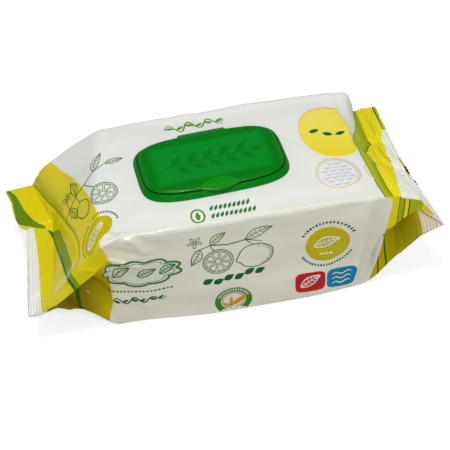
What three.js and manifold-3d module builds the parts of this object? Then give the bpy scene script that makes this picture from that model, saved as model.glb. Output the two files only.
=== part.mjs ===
// Wet wipes pack: a sealed flow-wrap of plastic film round a folded stack of wipes, with a stuck-on
// moulded dispenser that has a snap-shut cover on a living hinge.
// Millimetres. The origin is the middle of the bottom panel, the front is -Y and up is +Z.

import * as THREE from 'three';
import Module from 'manifold-3d';
import { mergeVertices } from 'three/addons/utils/BufferGeometryUtils.js';

// The stack of wipes inside sets the size of the body.
const bodyLength = 174;
const bodyWidth = 108;
const bodyHeight = 83.2;
const topEdgeRadius = 3.5;
const bottomEdgeRadius = 3;
const topEdgeDrop = 2.2;
const flatMargin = 3.8;

// The soft pack sags: away from its ends the front panel leans out towards its foot.
// The sag starts and fades at these distances inside the body's left and right ends.
const frontSag = 5.2;
const sagStart = { from: 9, to: 75 };
const sagFade = { from: 47, to: -23 };

// The two end seals: ribbed strips where the film's layers are welded together and cut off in a zigzag.
const sealWidth = 18;
const sealThickness = 1;
const ribPitch = 2;
const ribHeight = 0.35;
const toothPitch = 2;
const toothDepth = 1;
const toothSetBack = 0.15;
const bladeOverhang = 8;
const bladeReach = 20;
const leftSealHeight = 33;
const rightSealHeight = 60;

// The side panel of each end is tucked inwards between the top fold and the bottom fold.
const tuckDepth = 26;
const earOut = 3;

// Film bends in a soft fold, and the folds are softer towards the back of the pack.
const frontFoldWindow = 2.5;
const backFoldWindow = 4;

// The moulded dispenser on the top panel. Its own frame has +Y towards the hinge.
const dispenserX = -8.1;
const dispenserY = -1.7;
const dispenserTurn = 2.7;
const baseLength = 100;
const baseWidth = 59;
const baseHeight = 3.6;
const baseFloor = 1.2;
const wallSlopeIn = 1.9;
const rimWidth = 0.7;
const rampWidth = 2;
const backRimDrop = 1;
const windowLength = 62;
const windowWidth = 27;
const collarWidth = 1.2;
const collarClearance = 1.2;
const glueGap = 0.3;
const rimGap = 0.4;
const coverTop = 5.3;
const coverWall = 1.2;
const coverEdgeRadius = 1.6;
const coverShiftBack = 0.4;
const panelInset = 9;
const panelDepth = 0.4;
const panelStep = 0.8;
const skirtWall = 1;
const sealRibWidth = 1;
const tabWidth = 27;
const tabReach = 3.6;
const tabNotchGap = 0.6;
const scoopDepth = 0.7;
const scoopBack = 8;
const hingeWidth = 34;
const hingeLeafOut = 0.9;
const hingeTongueGap = 0.5;
const peelSealThickness = 0.3;
const peelSealEdgeGap = 1;
const pullLength = 4;

const wasm = await Module();
wasm.setup();

const lerp = THREE.MathUtils.lerp;
const smoothstep = THREE.MathUtils.smoothstep;
const halfLength = bodyLength / 2;
const halfWidth = bodyWidth / 2;

// The top panel is flat where the dispenser is stuck on, and flatMargin round it.
const flatHalfLength = Math.abs(dispenserX) + baseLength / 2 + flatMargin;
const flatHalfWidth = Math.abs(dispenserY) + baseWidth / 2 + flatMargin;

// A closed solid from rings of equally many points, given in order, each ring turning the same way.
// The first and last rings are closed by fans round their middle, or joined to each other in a loop.
function loftRings(rings, looped = false) {
  const count = rings[0].length;
  const position = rings.flat().flatMap((p) => [p.x, p.y, p.z]);
  const index = [];
  const joins = looped ? rings.length : rings.length - 1;
  for (let r = 0; r < joins; r++) {
    const here = r * count;
    const there = ((r + 1) % rings.length) * count;
    for (let i = 0; i < count; i++) {
      const next = (i + 1) % count;
      index.push(here + i, here + next, there + next, here + i, there + next, there + i);
    }
  }
  if (!looped) {
    for (const r of [0, rings.length - 1]) {
      const middle = position.length / 3;
      const centre = new THREE.Vector3();
      rings[r].forEach((p) => centre.addScaledVector(p, 1 / count));
      position.push(centre.x, centre.y, centre.z);
      for (let i = 0; i < count; i++) {
        const next = (i + 1) % count;
        if (r === 0) index.push(middle, r * count + next, r * count + i);
        else index.push(middle, r * count + i, r * count + next);
      }
    }
  }
  const geometry = new THREE.BufferGeometry();
  geometry.setAttribute('position', new THREE.Float32BufferAttribute(position, 3));
  geometry.setIndex(index);
  geometry.computeVertexNormals();
  return geometry;
}

// The film pack.
// Each end has five fold lines across the pack: the body's edge, a shoulder, the crease of the slope,
// the root of the seal and its cut tip. A line is given where it meets the front, the pleat and the back:
// out is the distance beyond the body's end, and rise goes from 0 at the seal to 1 at the top panel.
const leftEnd = {
  side: -1,
  sealHeight: leftSealHeight,
  pleatY: 18,
  front: { out: [3, 10, 17, 37], rise: [0.98, 0.83, 0.67, 0.12], tipRise: -0.08 },
  pleat: { out: [-2, 10, 21, 29], rise: [1, 0.75, 0.46, 0.04], tipRise: 0 },
  back: { out: [-12, 10, 30, 40], rise: [0.98, 0.74, 0.43, 0.09], tipRise: 0.05 },
  hemBack: [3, 2, 2, 1],
  hemDrop: [17, 17, 15, 6],
  foot: { out: [-2, 7, 19, 36], rise: [0, 0.3, 0.64, 0.83] },
};
const rightEnd = {
  side: 1,
  sealHeight: rightSealHeight,
  pleatY: 2,
  front: { out: [13, 17, 22, 33], rise: [0.93, 0.86, 0.79, 0.57], tipRise: -0.72 },
  pleat: { out: [3, 7, 11, 18], rise: [1, 0.76, 0.48, 0.1], tipRise: 0 },
  back: { out: [10, 13, 15, 16], rise: [0.98, 0.67, 0.38, 0], tipRise: 0.05 },
  hemBack: [3, 3, 2, 1],
  hemDrop: [31, 26, 18, 6],
  foot: { out: [-3, 6, 18, 36], rise: [0, 0.08, 0.32, 0.63] },
};
const BODY_EDGE = 0;
const ROOT = 3;
const TIP = 4;
const tuckShare = [0.08, 0.5, 1, 0.6];
const earOutShare = [0, 1, 1, 0.8];
const sideHeights = [0.66, 0.33];
const sealLayers = [0.35, 0.65, 1];

// A point of one fold line, at a depth y across the pack.
function foldPoint(end, line, y) {
  const read = (at) => {
    const out = line === TIP ? at.out[ROOT] + sealWidth : at.out[line];
    const rise = line === TIP ? at.tipRise : at.rise[line];
    return [out, lerp(end.sealHeight, bodyHeight - topEdgeDrop, rise)];
  };
  const nearer = y < end.pleatY ? end.front : end.back;
  const limit = y < end.pleatY ? -halfWidth : halfWidth;
  const share = (y - end.pleatY) / (limit - end.pleatY);
  const [out, z] = read(end.pleat).map((v, i) => lerp(v, read(nearer)[i], share));
  return new THREE.Vector3(end.side * (halfLength + out), y, z);
}

// The corners of one side panel at a fold line: the hem under the top fold, the tucked valley, the foot.
function sidePoints(end, line, front) {
  const turn = front ? -1 : 1;
  const top = foldPoint(end, line, turn * halfWidth);
  if (line === TIP) {
    return sealLayers.map((share) => top.clone().add(new THREE.Vector3(0, 0, -share * sealThickness)));
  }
  const hem = top.clone();
  hem.x -= end.side * end.hemBack[line];
  hem.y += turn * earOut * earOutShare[line];
  hem.z -= end.hemDrop[line];
  const foot = new THREE.Vector3(
    end.side * (halfLength + end.foot.out[line]),
    turn * halfWidth,
    end.sealHeight * end.foot.rise[line],
  );
  const valley = hem.clone().lerp(foot, 0.5);
  valley.y = turn * (halfWidth - tuckDepth * tuckShare[line]);
  return [hem, valley, foot];
}

// The bottom panel at a fold line: level on the body, then rising to lie under the top panel in the seal.
function bottomPoint(end, line, y) {
  if (line < ROOT) {
    return new THREE.Vector3(
      end.side * (halfLength + end.foot.out[line]),
      y,
      end.sealHeight * end.foot.rise[line],
    );
  }
  const point = foldPoint(end, line, y);
  point.z -= sealThickness;
  return point;
}

// One closed section of the film: top panel from back to front, front panel, bottom panel, back panel.
// Each panel is a list of points, and the places where two panels meet are rounded afterwards.
const topSteps = 12;
const bottomSteps = 8;
function across(steps, from, to, make) {
  return Array.from({ length: steps + 1 }, (_, i) => make(lerp(from, to, i / steps)));
}
function endSection(end, line) {
  const top = across(topSteps, halfWidth, -halfWidth, (y) => foldPoint(end, line, y));
  const bottom = across(bottomSteps, -halfWidth, halfWidth, (y) => bottomPoint(end, line, y));
  const front = sidePoints(end, line, true);
  const back = sidePoints(end, line, false);
  bottom[0] = front[2];
  bottom[bottomSteps] = back[2];
  return [...top, front[0], front[1], ...bottom, back[1], back[0]];
}
function flatSection(x) {
  const drop = (y) => topEdgeDrop * smoothstep(Math.abs(y), flatHalfWidth, halfWidth);
  const top = across(topSteps, halfWidth, -halfWidth, (y) => new THREE.Vector3(x, y, bodyHeight - drop(y)));
  const bottom = across(bottomSteps, -halfWidth, halfWidth, (y) => new THREE.Vector3(x, y, 0));
  const side = (y) => sideHeights.map((share) => new THREE.Vector3(x, y, share * bodyHeight));
  return [...top, ...side(-halfWidth), ...bottom, ...side(halfWidth).toReversed()];
}

// The stations along the pack, from the left seal's cut tip to the right one's.
const lines = [TIP, ROOT, 2, 1, BODY_EDGE];
const stations = [
  ...lines.map((line) => endSection(leftEnd, line)),
  flatSection(-flatHalfLength),
  flatSection(flatHalfLength),
  ...lines.toReversed().map((line) => endSection(rightEnd, line)),
];
const foldCrispness = [0.05, 0.1, 0.25, 0.4, 0.8, 1];
const crispness = [...foldCrispness, ...foldCrispness.toReversed()];
const lastStation = stations.length - 1;

// Distance along the film at each station, measured over the middle of the top panel.
const middle = topSteps / 2;
const travel = [0];
for (let j = 1; j <= lastStation; j++) {
  travel.push(travel[j - 1] + stations[j][middle].distanceTo(stations[j - 1][middle]));
}
function alongAt(distance, read) {
  const d = THREE.MathUtils.clamp(distance, 0, travel[lastStation]);
  let j = 0;
  while (j < lastStation - 1 && travel[j + 1] < d) j++;
  return read(j, (d - travel[j]) / (travel[j + 1] - travel[j]));
}

// Each point is the mean of the straight run over a short window, which closes at the flat seals.
const windowShares = [-1, -0.5, 0, 0.5, 1];
function softSection(distance) {
  const fromSeal = Math.min(distance - travel[1], travel[lastStation - 1] - distance);
  return stations[0].map((_, i) => {
    const point = new THREE.Vector3();
    const y = stations[BODY_EDGE][i].y;
    const wanted = lerp(frontFoldWindow, backFoldWindow, smoothstep(y, -halfWidth, halfWidth));
    const reach = Math.max(0, Math.min(wanted, fromSeal));
    for (const share of windowShares) {
      const straight = alongAt(distance + share * reach, (j, t) =>
        stations[j][i].clone().lerp(stations[j + 1][i], t));
      point.addScaledVector(straight, 1 / windowShares.length);
    }
    return point;
  });
}

// The sag moves a point outwards: fully at the foot of the front panel, not at all at the top edge.
function sagged(p) {
  const start = smoothstep(p.x, sagStart.from - halfLength, sagStart.to - halfLength);
  const fade = 1 - smoothstep(p.x, halfLength - sagFade.from, halfLength - sagFade.to);
  const low = smoothstep(bodyHeight - p.z, 0, bodyHeight);
  const near = Math.max(0, -p.y / halfWidth);
  p.y -= frontSag * start * fade * low * near;
  return p;
}

// Rounds the long edges of a section: a corner becomes a short curve between its two neighbours.
const curveShares = [0, 0.25, 0.5, 0.75, 1];
const mostOfGap = 0.45;
function roundCorner(before, corner, after, radius) {
  const towards = (p) => {
    const gap = corner.distanceTo(p);
    return corner.clone().lerp(p, Math.min(mostOfGap, radius / Math.max(gap, 0.01)));
  };
  const curve = new THREE.QuadraticBezierCurve3(towards(before), corner, towards(after));
  return curveShares.map((share) => curve.getPoint(share));
}
function roundSection(points, crisp) {
  const frontTop = topSteps;
  const frontBottom = topSteps + 3;
  const backBottom = frontBottom + bottomSteps;
  const radii = new Map([
    [0, topEdgeRadius], [frontTop, topEdgeRadius],
    [frontBottom, bottomEdgeRadius], [backBottom, bottomEdgeRadius],
  ]);
  return points.flatMap((point, i) => {
    if (!radii.has(i)) return [point];
    const before = points.at(i - 1);
    const after = points[(i + 1) % points.length];
    return roundCorner(before, point, after, radii.get(i) * crisp);
  });
}

function filmRings() {
  const ribSteps = 2 * Math.round(sealWidth / ribPitch);
  const slopeSteps = 3;
  const flatSteps = 12;
  const rings = [];
  for (let j = 0; j < lastStation; j++) {
    const inSeal = j === 0 || j === lastStation - 1;
    const isFlat = j === (lastStation - 1) / 2;
    const steps = inSeal ? ribSteps : isFlat ? flatSteps : slopeSteps;
    for (let i = 0; i < steps; i++) {
      const distance = lerp(travel[j], travel[j + 1], i / steps);
      const section = softSection(distance).map(sagged);
      if (inSeal && i > 0) section.forEach((p) => { p.z += (i % 2 ? 0.5 : -0.5) * ribHeight; });
      rings.push(roundSection(section, lerp(crispness[j], crispness[j + 1], i / steps)));
    }
  }
  rings.push(roundSection(softSection(travel[lastStation]).map(sagged), crispness[lastStation]));
  return rings;
}

// Solids with several cuts go through manifold-3d and back.
function toSolid(geometry) {
  const bare = geometry.clone();
  bare.deleteAttribute('normal');
  bare.deleteAttribute('uv');
  const merged = mergeVertices(bare, 1e-5);
  return new wasm.Manifold(new wasm.Mesh({
    numProp: 3,
    vertProperties: merged.attributes.position.array,
    triVerts: new Uint32Array(merged.index.array),
  }));
}
function toGeometry(solid) {
  const mesh = solid.getMesh();
  const geometry = new THREE.BufferGeometry();
  geometry.setAttribute('position', new THREE.BufferAttribute(mesh.vertProperties, 3));
  geometry.setIndex(new THREE.BufferAttribute(mesh.triVerts, 1));
  geometry.computeVertexNormals();
  return geometry;
}

// The blade that cuts a seal: a tall block beyond a zigzag line that follows the seal's tip.
function zigzagBlade(end) {
  const span = bodyWidth + 2 * bladeOverhang;
  const count = 2 * Math.round(span / toothPitch);
  const shape = new THREE.Shape();
  for (let i = 0; i <= count; i++) {
    const y = lerp(-span / 2, span / 2, i / count);
    const tip = foldPoint(end, TIP, THREE.MathUtils.clamp(y, -halfWidth, halfWidth)).x;
    const back = toothSetBack + (i % 2) * toothDepth;
    const x = tip - end.side * back;
    if (i === 0) shape.moveTo(x, y);
    else shape.lineTo(x, y);
  }
  const outside = end.side * (halfLength + bodyLength / 2 + bladeReach);
  shape.lineTo(outside, span / 2);
  shape.lineTo(outside, -span / 2);
  return new THREE.ExtrudeGeometry(shape, { depth: 2 * bodyHeight, bevelEnabled: false })
    .translate(0, 0, -bodyHeight / 2);
}
function filmPack() {
  const blank = toSolid(loftRings(filmRings()));
  const cut = [leftEnd, rightEnd].reduce((solid, end) => solid.subtract(toSolid(zigzagBlade(end))), blank);
  return toGeometry(cut);
}

// The dispenser. Its outlines are superellipses, stepped evenly along their length.
const outlineSteps = 112;
const outlinePowerX = 3.7;
const outlinePowerY = 4.5;
const outlineSamples = 1440;
function outline(halfX, halfY, shiftY, height) {
  const dense = Array.from({ length: outlineSamples + 1 }, (_, i) => {
    const angle = (2 * Math.PI * i) / outlineSamples - Math.PI / 2;
    const c = Math.cos(angle);
    const s = Math.sin(angle);
    const x = halfX * Math.sign(c) * Math.abs(c) ** (2 / outlinePowerX);
    const y = halfY * Math.sign(s) * Math.abs(s) ** (2 / outlinePowerY);
    return new THREE.Vector2(x, y + shiftY);
  });
  const length = [0];
  for (let i = 1; i < dense.length; i++) length.push(length[i - 1] + dense[i].distanceTo(dense[i - 1]));
  let j = 0;
  return Array.from({ length: outlineSteps }, (_, i) => {
    const wanted = (i / outlineSteps) * length.at(-1);
    while (length[j + 1] < wanted) j++;
    const p = dense[j].clone().lerp(dense[j + 1], (wanted - length[j]) / (length[j + 1] - length[j]));
    return new THREE.Vector3(p.x, p.y, typeof height === 'function' ? height(p.x, p.y) : height);
  });
}

const rimOuter = [baseLength / 2 - wallSlopeIn, baseWidth / 2 - wallSlopeIn];
const rimInner = rimOuter.map((half) => half - rimWidth);
const cover = rimInner.map((half) => half - rimGap);
const windowHalf = [windowLength / 2, windowWidth / 2];
const collar = windowHalf.map((half) => half + collarWidth);
const coverUnder = coverTop - coverWall;
const collarTop = coverUnder - collarClearance;
const tabUnder = coverTop - coverEdgeRadius;

// Height of the base's rim: full at the sides, lower at the back and under the thumb tab,
// with a tongue under the hinge.
function rimTop(x, y) {
  const side = 1 - smoothstep(y, baseWidth / 4, cover[1]);
  const plain = baseHeight - backRimDrop * (1 - side);
  if (y > 0) {
    const tongue = 1 - smoothstep(Math.abs(x), hingeWidth / 2 - rampWidth, hingeWidth / 2);
    return lerp(plain, tabUnder - hingeTongueGap, tongue);
  }
  const underTab = 1 - smoothstep(Math.abs(x), tabWidth / 2, tabWidth / 2 + rampWidth);
  return lerp(plain, Math.min(plain, tabUnder - tabNotchGap), underTab);
}

function lidBase() {
  return loftRings([
    outline(baseLength / 2, baseWidth / 2, 0, 0),
    outline(...rimOuter, coverShiftBack, rimTop),
    outline(...rimInner, coverShiftBack, rimTop),
    outline(...rimInner, coverShiftBack, baseFloor),
    outline(...collar, 0, baseFloor),
    outline(...collar, 0, collarTop),
    outline(...windowHalf, 0, collarTop),
    outline(...windowHalf, 0, 0),
  ], true);
}

// The cover's plate pushes out at the front as a thumb tab and at the back as the hinge leaf.
function pushEdge(p) {
  const beside = p.x / (tabWidth / 2);
  if (p.y < 0 && Math.abs(beside) < 1) p.y -= tabReach * (1 - beside ** 2);
  const leaf = 1 - smoothstep(Math.abs(p.x), hingeWidth / 2 - rampWidth, hingeWidth / 2);
  if (p.y > 0) p.y += hingeLeafOut * leaf;
  return p;
}
function scoop(p) {
  const front = coverShiftBack - cover[1];
  const beside = p.x / (tabWidth / 2);
  const deep = (p.y - front) / scoopBack;
  p.z -= scoopDepth * Math.max(0, 1 - beside ** 2 - deep ** 2);
  return p;
}

function lidCover() {
  const inset = (by, height) => outline(cover[0] - by, cover[1] - by, coverShiftBack, height);
  const round = (by, height) => outline(collar[0] + by, collar[1] + by, 0, height);
  const skirtBottom = baseFloor + rimGap;
  const sealRib = [rimGap, rimGap + sealRibWidth];
  const edge = [[0, 0], [0.08, 0.45], [0.35, 0.8], [1, 1]];
  const rounded = edge.map(([inShare, upShare]) =>
    inset(inShare * coverEdgeRadius, tabUnder + upShare * coverEdgeRadius).map(pushEdge));
  return loftRings([
    round(-collar[1] / 2, coverUnder),
    round(sealRib[0], coverUnder),
    round(sealRib[0], skirtBottom),
    round(sealRib[1], skirtBottom),
    round(sealRib[1], coverUnder),
    inset(skirtWall, coverUnder),
    inset(skirtWall, skirtBottom),
    inset(0, skirtBottom),
    inset(0, tabUnder - rimGap),
    ...rounded.map((ring) => ring.map(scoop)),
    ...[0.35, 0.6, 0.85, 1].map((share) => inset(share * panelInset, coverTop).map(scoop)),
    inset(panelInset + panelStep, coverTop - panelDepth),
  ]);
}

// The peel-off seal over the opening cut in the film, inside the base's window, with a pull tab.
function peelSeal() {
  const half = windowHalf.map((side) => side - peelSealEdgeGap - pullLength);
  const pull = (p) => {
    const share = p.y / (half[1] * 0.6);
    if (p.x > 0 && Math.abs(share) < 1) p.x += pullLength * (1 - share ** 4);
    return p;
  };
  return loftRings([0, peelSealThickness].map((z) => outline(half[0], half[1] + pullLength, 0, z).map(pull)));
}

function piece(name, geometry, colour, roughness) {
  const material = new THREE.MeshStandardMaterial({ color: colour, roughness, metalness: 0 });
  const mesh = new THREE.Mesh(geometry, material);
  mesh.name = name;
  return mesh;
}

const pack = new THREE.Group();
pack.add(piece('film_pack', filmPack(), 0xe6e6e0, 0.35));

const dispenser = new THREE.Group();
dispenser.position.set(dispenserX, dispenserY, bodyHeight + glueGap);
dispenser.rotation.z = THREE.MathUtils.degToRad(dispenserTurn);
dispenser.add(piece('lid_base', lidBase(), 0x0a7a1c, 0.35));
dispenser.add(piece('lid_cover', lidCover(), 0x0c8628, 0.35));
dispenser.add(piece('peel_seal', peelSeal(), 0xf2f2ee, 0.5));
pack.add(dispenser);

export default pack;
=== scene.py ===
# %% [markdown]
# A pack of wet wipes is a tube of printed film, filled with a folded stack and welded shut at both ends.
# A moulded dispenser with a snap-shut cover is stuck on top.
# The imported model is loaded first: it fixes every size and place, and the pieces made below dress it.

import bpy
import numpy as np
from mathutils import Matrix, Vector


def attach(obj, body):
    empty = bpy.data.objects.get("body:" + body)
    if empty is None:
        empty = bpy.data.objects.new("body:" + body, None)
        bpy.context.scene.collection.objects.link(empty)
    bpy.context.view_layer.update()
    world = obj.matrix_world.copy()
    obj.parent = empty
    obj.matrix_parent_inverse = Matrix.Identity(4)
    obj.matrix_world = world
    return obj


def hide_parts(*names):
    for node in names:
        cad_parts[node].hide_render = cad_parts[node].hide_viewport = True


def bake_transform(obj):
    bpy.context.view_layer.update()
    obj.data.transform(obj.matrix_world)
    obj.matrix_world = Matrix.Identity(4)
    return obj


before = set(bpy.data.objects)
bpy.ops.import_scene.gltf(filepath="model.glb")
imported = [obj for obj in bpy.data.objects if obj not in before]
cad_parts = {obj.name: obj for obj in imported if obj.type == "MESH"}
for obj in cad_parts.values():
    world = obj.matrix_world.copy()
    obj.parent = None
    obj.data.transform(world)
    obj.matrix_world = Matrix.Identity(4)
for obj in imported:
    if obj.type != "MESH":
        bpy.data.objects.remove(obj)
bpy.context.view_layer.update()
MM = 0.001

# %% [markdown]
# The picture is taken from above and a little to the left, with a long lens, so the pack's long edges
# stay nearly parallel.
# The camera looks along a direction given by two angles, is rolled slightly, and its picture is moved by
# a few pixels with the lens shift, as a view camera's is.

# %% Camera
PICTURE = 450
SENSOR = 36.0
FOCAL_PIXELS = 1406
DISTANCE, CLIP_START = 987 * MM, 50 * MM
AZIMUTH, ELEVATION, ROLL = np.radians([10.1, 46.1, -2.25])
SHIFT_PIXELS = (1.0, 23.1)


def camera_axes(azimuth, elevation, roll):
    """Right, up and backward directions of a camera at these angles, turned about its own axis by roll."""
    back = np.array([
        -np.sin(azimuth) * np.cos(elevation),
        -np.cos(azimuth) * np.cos(elevation),
        np.sin(elevation),
    ])
    right = np.array([np.cos(azimuth), -np.sin(azimuth), 0.0])
    up = np.cross(back, right)
    rolled_right = right * np.cos(roll) + up * np.sin(roll)
    rolled_up = up * np.cos(roll) - right * np.sin(roll)
    return rolled_right, rolled_up, back


def place_camera():
    """Camera that looks at the origin; its matrix has its three axes as columns."""
    right, up, back = camera_axes(AZIMUTH, ELEVATION, ROLL)
    data = bpy.data.cameras.new("camera")
    data.sensor_width = SENSOR
    data.lens = FOCAL_PIXELS / PICTURE * SENSOR
    data.shift_x = -SHIFT_PIXELS[0] / PICTURE
    data.shift_y = SHIFT_PIXELS[1] / PICTURE
    data.clip_start = CLIP_START
    camera = bpy.data.objects.new("camera", data)
    bpy.context.scene.collection.objects.link(camera)
    matrix = np.eye(4)
    matrix[:3, 0], matrix[:3, 1], matrix[:3, 2] = right, up, back
    matrix[:3, 3] = back * DISTANCE
    camera.matrix_world = Matrix(matrix.tolist())
    bpy.context.scene.camera = camera
    return camera


camera = place_camera()
bpy.context.scene.view_settings.view_transform = "Standard"
print("lens", round(camera.data.lens, 1), "mm at", round(DISTANCE, 3), "m")

# %% [markdown]
# A material is a net of small nodes: numbers stored on the points go in, and colours and gloss come out.
# A few methods keep each step of such a net to one line. Most of them turn a distance in millimetres into
# a share from 0 to 1, by a smooth step at an edge.

# %% Helpers for materials
EDGE_SOFTNESS, LINE_SOFTNESS = 0.35, 0.15


def srgb(*levels):
    """Linear colour of 8-bit display levels."""
    level = np.array(levels, float) / 255
    return (*np.where(level < 0.04045, level / 12.92, ((level + 0.055) / 1.055) ** 2.4), 1.0)


class Wires:
    """One new material: adds nodes to it and joins them."""

    def __init__(self, name):
        """An empty material with its main shader."""
        self.material = bpy.data.materials.new(name)
        self.material.use_nodes = True
        self.nodes, self.links = self.material.node_tree.nodes, self.material.node_tree.links
        self.shader = self.nodes["Principled BSDF"]

    def add(self, kind, **settings):
        """A new node of a kind, with its settings."""
        node = self.nodes.new(kind)
        for key, value in settings.items():
            setattr(node, key, value)
        return node

    def join(self, source, socket):
        """Leads an output into an input."""
        self.links.new(source, socket)

    def number(self, name):
        """A number stored on the points."""
        return self.add("ShaderNodeAttribute", attribute_name=name).outputs["Fac"]

    def math(self, operation, first, second=None):
        """A sum on one or two values, each a number or an output."""
        node = self.add("ShaderNodeMath", operation=operation)
        for socket, value in zip(node.inputs, (first, second)):
            if value is None:
                continue
            if isinstance(value, (int, float)):
                socket.default_value = value
            else:
                self.join(value, socket)
        return node.outputs[0]

    def past(self, distance, soft=EDGE_SOFTNESS):
        """0 before an edge and 1 past it, from the distance in millimetres."""
        node = self.add("ShaderNodeMapRange", interpolation_type="SMOOTHSTEP")
        node.inputs["From Min"].default_value = -soft
        node.inputs["From Max"].default_value = soft
        self.join(distance, node.inputs["Value"])
        return node.outputs["Result"]

    def both(self, *shares):
        """The product of several shares, so 1 only where all are."""
        total = shares[0]
        for share in shares[1:]:
            total = self.math("MULTIPLY", total, share)
        return total

    def without(self, share):
        """1 less a share."""
        return self.math("SUBTRACT", 1.0, share)

    def above(self, value, limit, soft=EDGE_SOFTNESS):
        """0 below a limit and 1 above it."""
        return self.past(self.math("SUBTRACT", value, limit), soft)

    def below(self, value, limit, soft=EDGE_SOFTNESS):
        """1 below a limit and 0 above it."""
        return self.past(self.math("SUBTRACT", limit, value), soft)

    def stripe(self, value, middle, half_width):
        """1 within half_width of a middle."""
        away = self.math("ABSOLUTE", self.math("SUBTRACT", value, middle))
        return self.below(away, half_width, LINE_SOFTNESS)

    def waves(self, value, pitch):
        """A sine of the value, one wave to each pitch."""
        return self.math("SINE", self.math("MULTIPLY", value, 2 * np.pi / pitch))

    def blend(self, share, under, over):
        """The colour over laid on the colour under, where share says."""
        node = self.add("ShaderNodeMix", data_type="RGBA")
        factor, below, above = node.inputs[0], node.inputs[6], node.inputs[7]
        self.join(share, factor)
        for socket, value in ((below, under), (above, over)):
            if isinstance(value, tuple):
                socket.default_value = value
            else:
                self.join(value, socket)
        return node.outputs[2]

    def ramp(self, value, stops, constant=False):
        """Colours along a distance: stops are (millimetres, colour); value is a distance in millimetres."""
        low, high = stops[0][0], stops[-1][0]
        span = self.add("ShaderNodeMapRange")
        span.inputs["From Min"].default_value = low
        span.inputs["From Max"].default_value = high
        self.join(value, span.inputs["Value"])
        node = self.add("ShaderNodeValToRGB")
        ramp = node.color_ramp
        ramp.interpolation = "CONSTANT" if constant else "LINEAR"
        while len(ramp.elements) < len(stops):
            ramp.elements.new(0.5)
        for element, (place, colour) in zip(ramp.elements, stops):
            element.position = (place - low) / (high - low)
            element.color = colour
        self.join(span.outputs["Result"], node.inputs["Fac"])
        return node.outputs["Color"]

    def noise(self, scale, detail=3.0):
        """Cloudy noise on Object coordinates, with so many clouds to the metre."""
        node = self.add("ShaderNodeTexNoise")
        node.inputs["Scale"].default_value = scale
        node.inputs["Detail"].default_value = detail
        self.join(self.add("ShaderNodeTexCoord").outputs["Object"], node.inputs["Vector"])
        return node.outputs["Fac"]

    def bump(self, height, strength, distance):
        """Tilts the shader's normal as a relief would."""
        node = self.add("ShaderNodeBump")
        node.inputs["Strength"].default_value = strength
        node.inputs["Distance"].default_value = distance
        self.join(height, node.inputs["Height"])
        self.join(node.outputs["Normal"], self.shader.inputs["Normal"])

    def spread(self, share, low, high):
        """Stretches a 0 to 1 value between two levels."""
        node = self.add("ShaderNodeMapRange")
        node.inputs["To Min"].default_value = low
        node.inputs["To Max"].default_value = high
        self.join(share, node.inputs["Value"])
        return node.outputs["Result"]


print("middle grey in linear light:", np.round(srgb(128, 128, 128)[0], 3))

# %% [markdown]
# The pack lies on a white sheet, in soft light: a lamp above it, a big weak one in front, a very small one
# near the viewer that leaves a thin glint on sharp folds, and a pale sky that fills the shadows.
# The floor is an ordinary pale surface. Where the camera, a gloss reflection or a clear piece looks at
# it, a little light of its own is added, so that it reads as white paper but keeps the pack's shadow.

# %% Floor and light
FLOOR_SIZE = 6.0
FLOOR_COLOUR, PAPER_ROUGHNESS, PAPER_GLOW = 0.5, 0.9, 0.68
LAMP_AIM = (0, 0, 0.05)
LAMPS = {
    "key_lamp": {"place": (-0.2, -0.1, 1.5), "size": 0.45, "watts": 9.5},
    "front_lamp": {"place": (0.1, -1.6, 0.7), "size": 1.3, "watts": 3},
    "glint_lamp": {"place": (0.02, -0.82, 0.99), "size": 0.12, "watts": 4},
}
SKY = 0.33


def make_floor():
    """A pale square; its glow is the largest of three flags of the ray, times a constant."""
    half = FLOOR_SIZE / 2
    corners = [(-half, -half, 0), (half, -half, 0), (half, half, 0), (-half, half, 0)]
    mesh = bpy.data.meshes.new("floor")
    mesh.from_pydata(corners, [], [(0, 1, 2, 3)])
    floor = bpy.data.objects.new("floor", mesh)
    bpy.context.scene.collection.objects.link(floor)
    w = Wires("white_paper")
    w.shader.inputs["Base Color"].default_value = (FLOOR_COLOUR, FLOOR_COLOUR, FLOOR_COLOUR, 1)
    w.shader.inputs["Roughness"].default_value = PAPER_ROUGHNESS
    flags = w.add("ShaderNodeLightPath").outputs
    seen = w.math("MAXIMUM", flags["Is Camera Ray"], flags["Is Glossy Ray"])
    seen = w.math("MAXIMUM", seen, flags["Is Transmission Ray"])
    glow, both = w.add("ShaderNodeEmission"), w.add("ShaderNodeAddShader")
    w.join(w.math("MULTIPLY", seen, PAPER_GLOW), glow.inputs["Strength"])
    w.join(w.shader.outputs[0], both.inputs[0])
    w.join(glow.outputs[0], both.inputs[1])
    w.join(both.outputs[0], w.nodes["Material Output"].inputs["Surface"])
    mesh.materials.append(w.material)


def area_lamp(name, place, size, watts):
    """A disc that shines from its place towards the pack."""
    data = bpy.data.lights.new(name, "AREA")
    data.shape = "DISK"
    data.size = size
    data.energy = watts
    lamp = bpy.data.objects.new(name, data)
    bpy.context.scene.collection.objects.link(lamp)
    lamp.location = place
    lamp.rotation_euler = (Vector(place) - Vector(LAMP_AIM)).to_track_quat("Z", "Y").to_euler()


def pale_sky():
    """Even white light from all round."""
    world = bpy.data.worlds.new("sky")
    world.use_nodes = True
    background = world.node_tree.nodes["Background"]
    background.inputs["Color"].default_value = (1, 1, 1, 1)
    background.inputs["Strength"].default_value = SKY
    bpy.context.scene.world = world


make_floor()
for lamp_name, lamp_values in LAMPS.items():
    area_lamp(lamp_name, **lamp_values)
pale_sky()
print("lamps", list(LAMPS))

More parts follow.
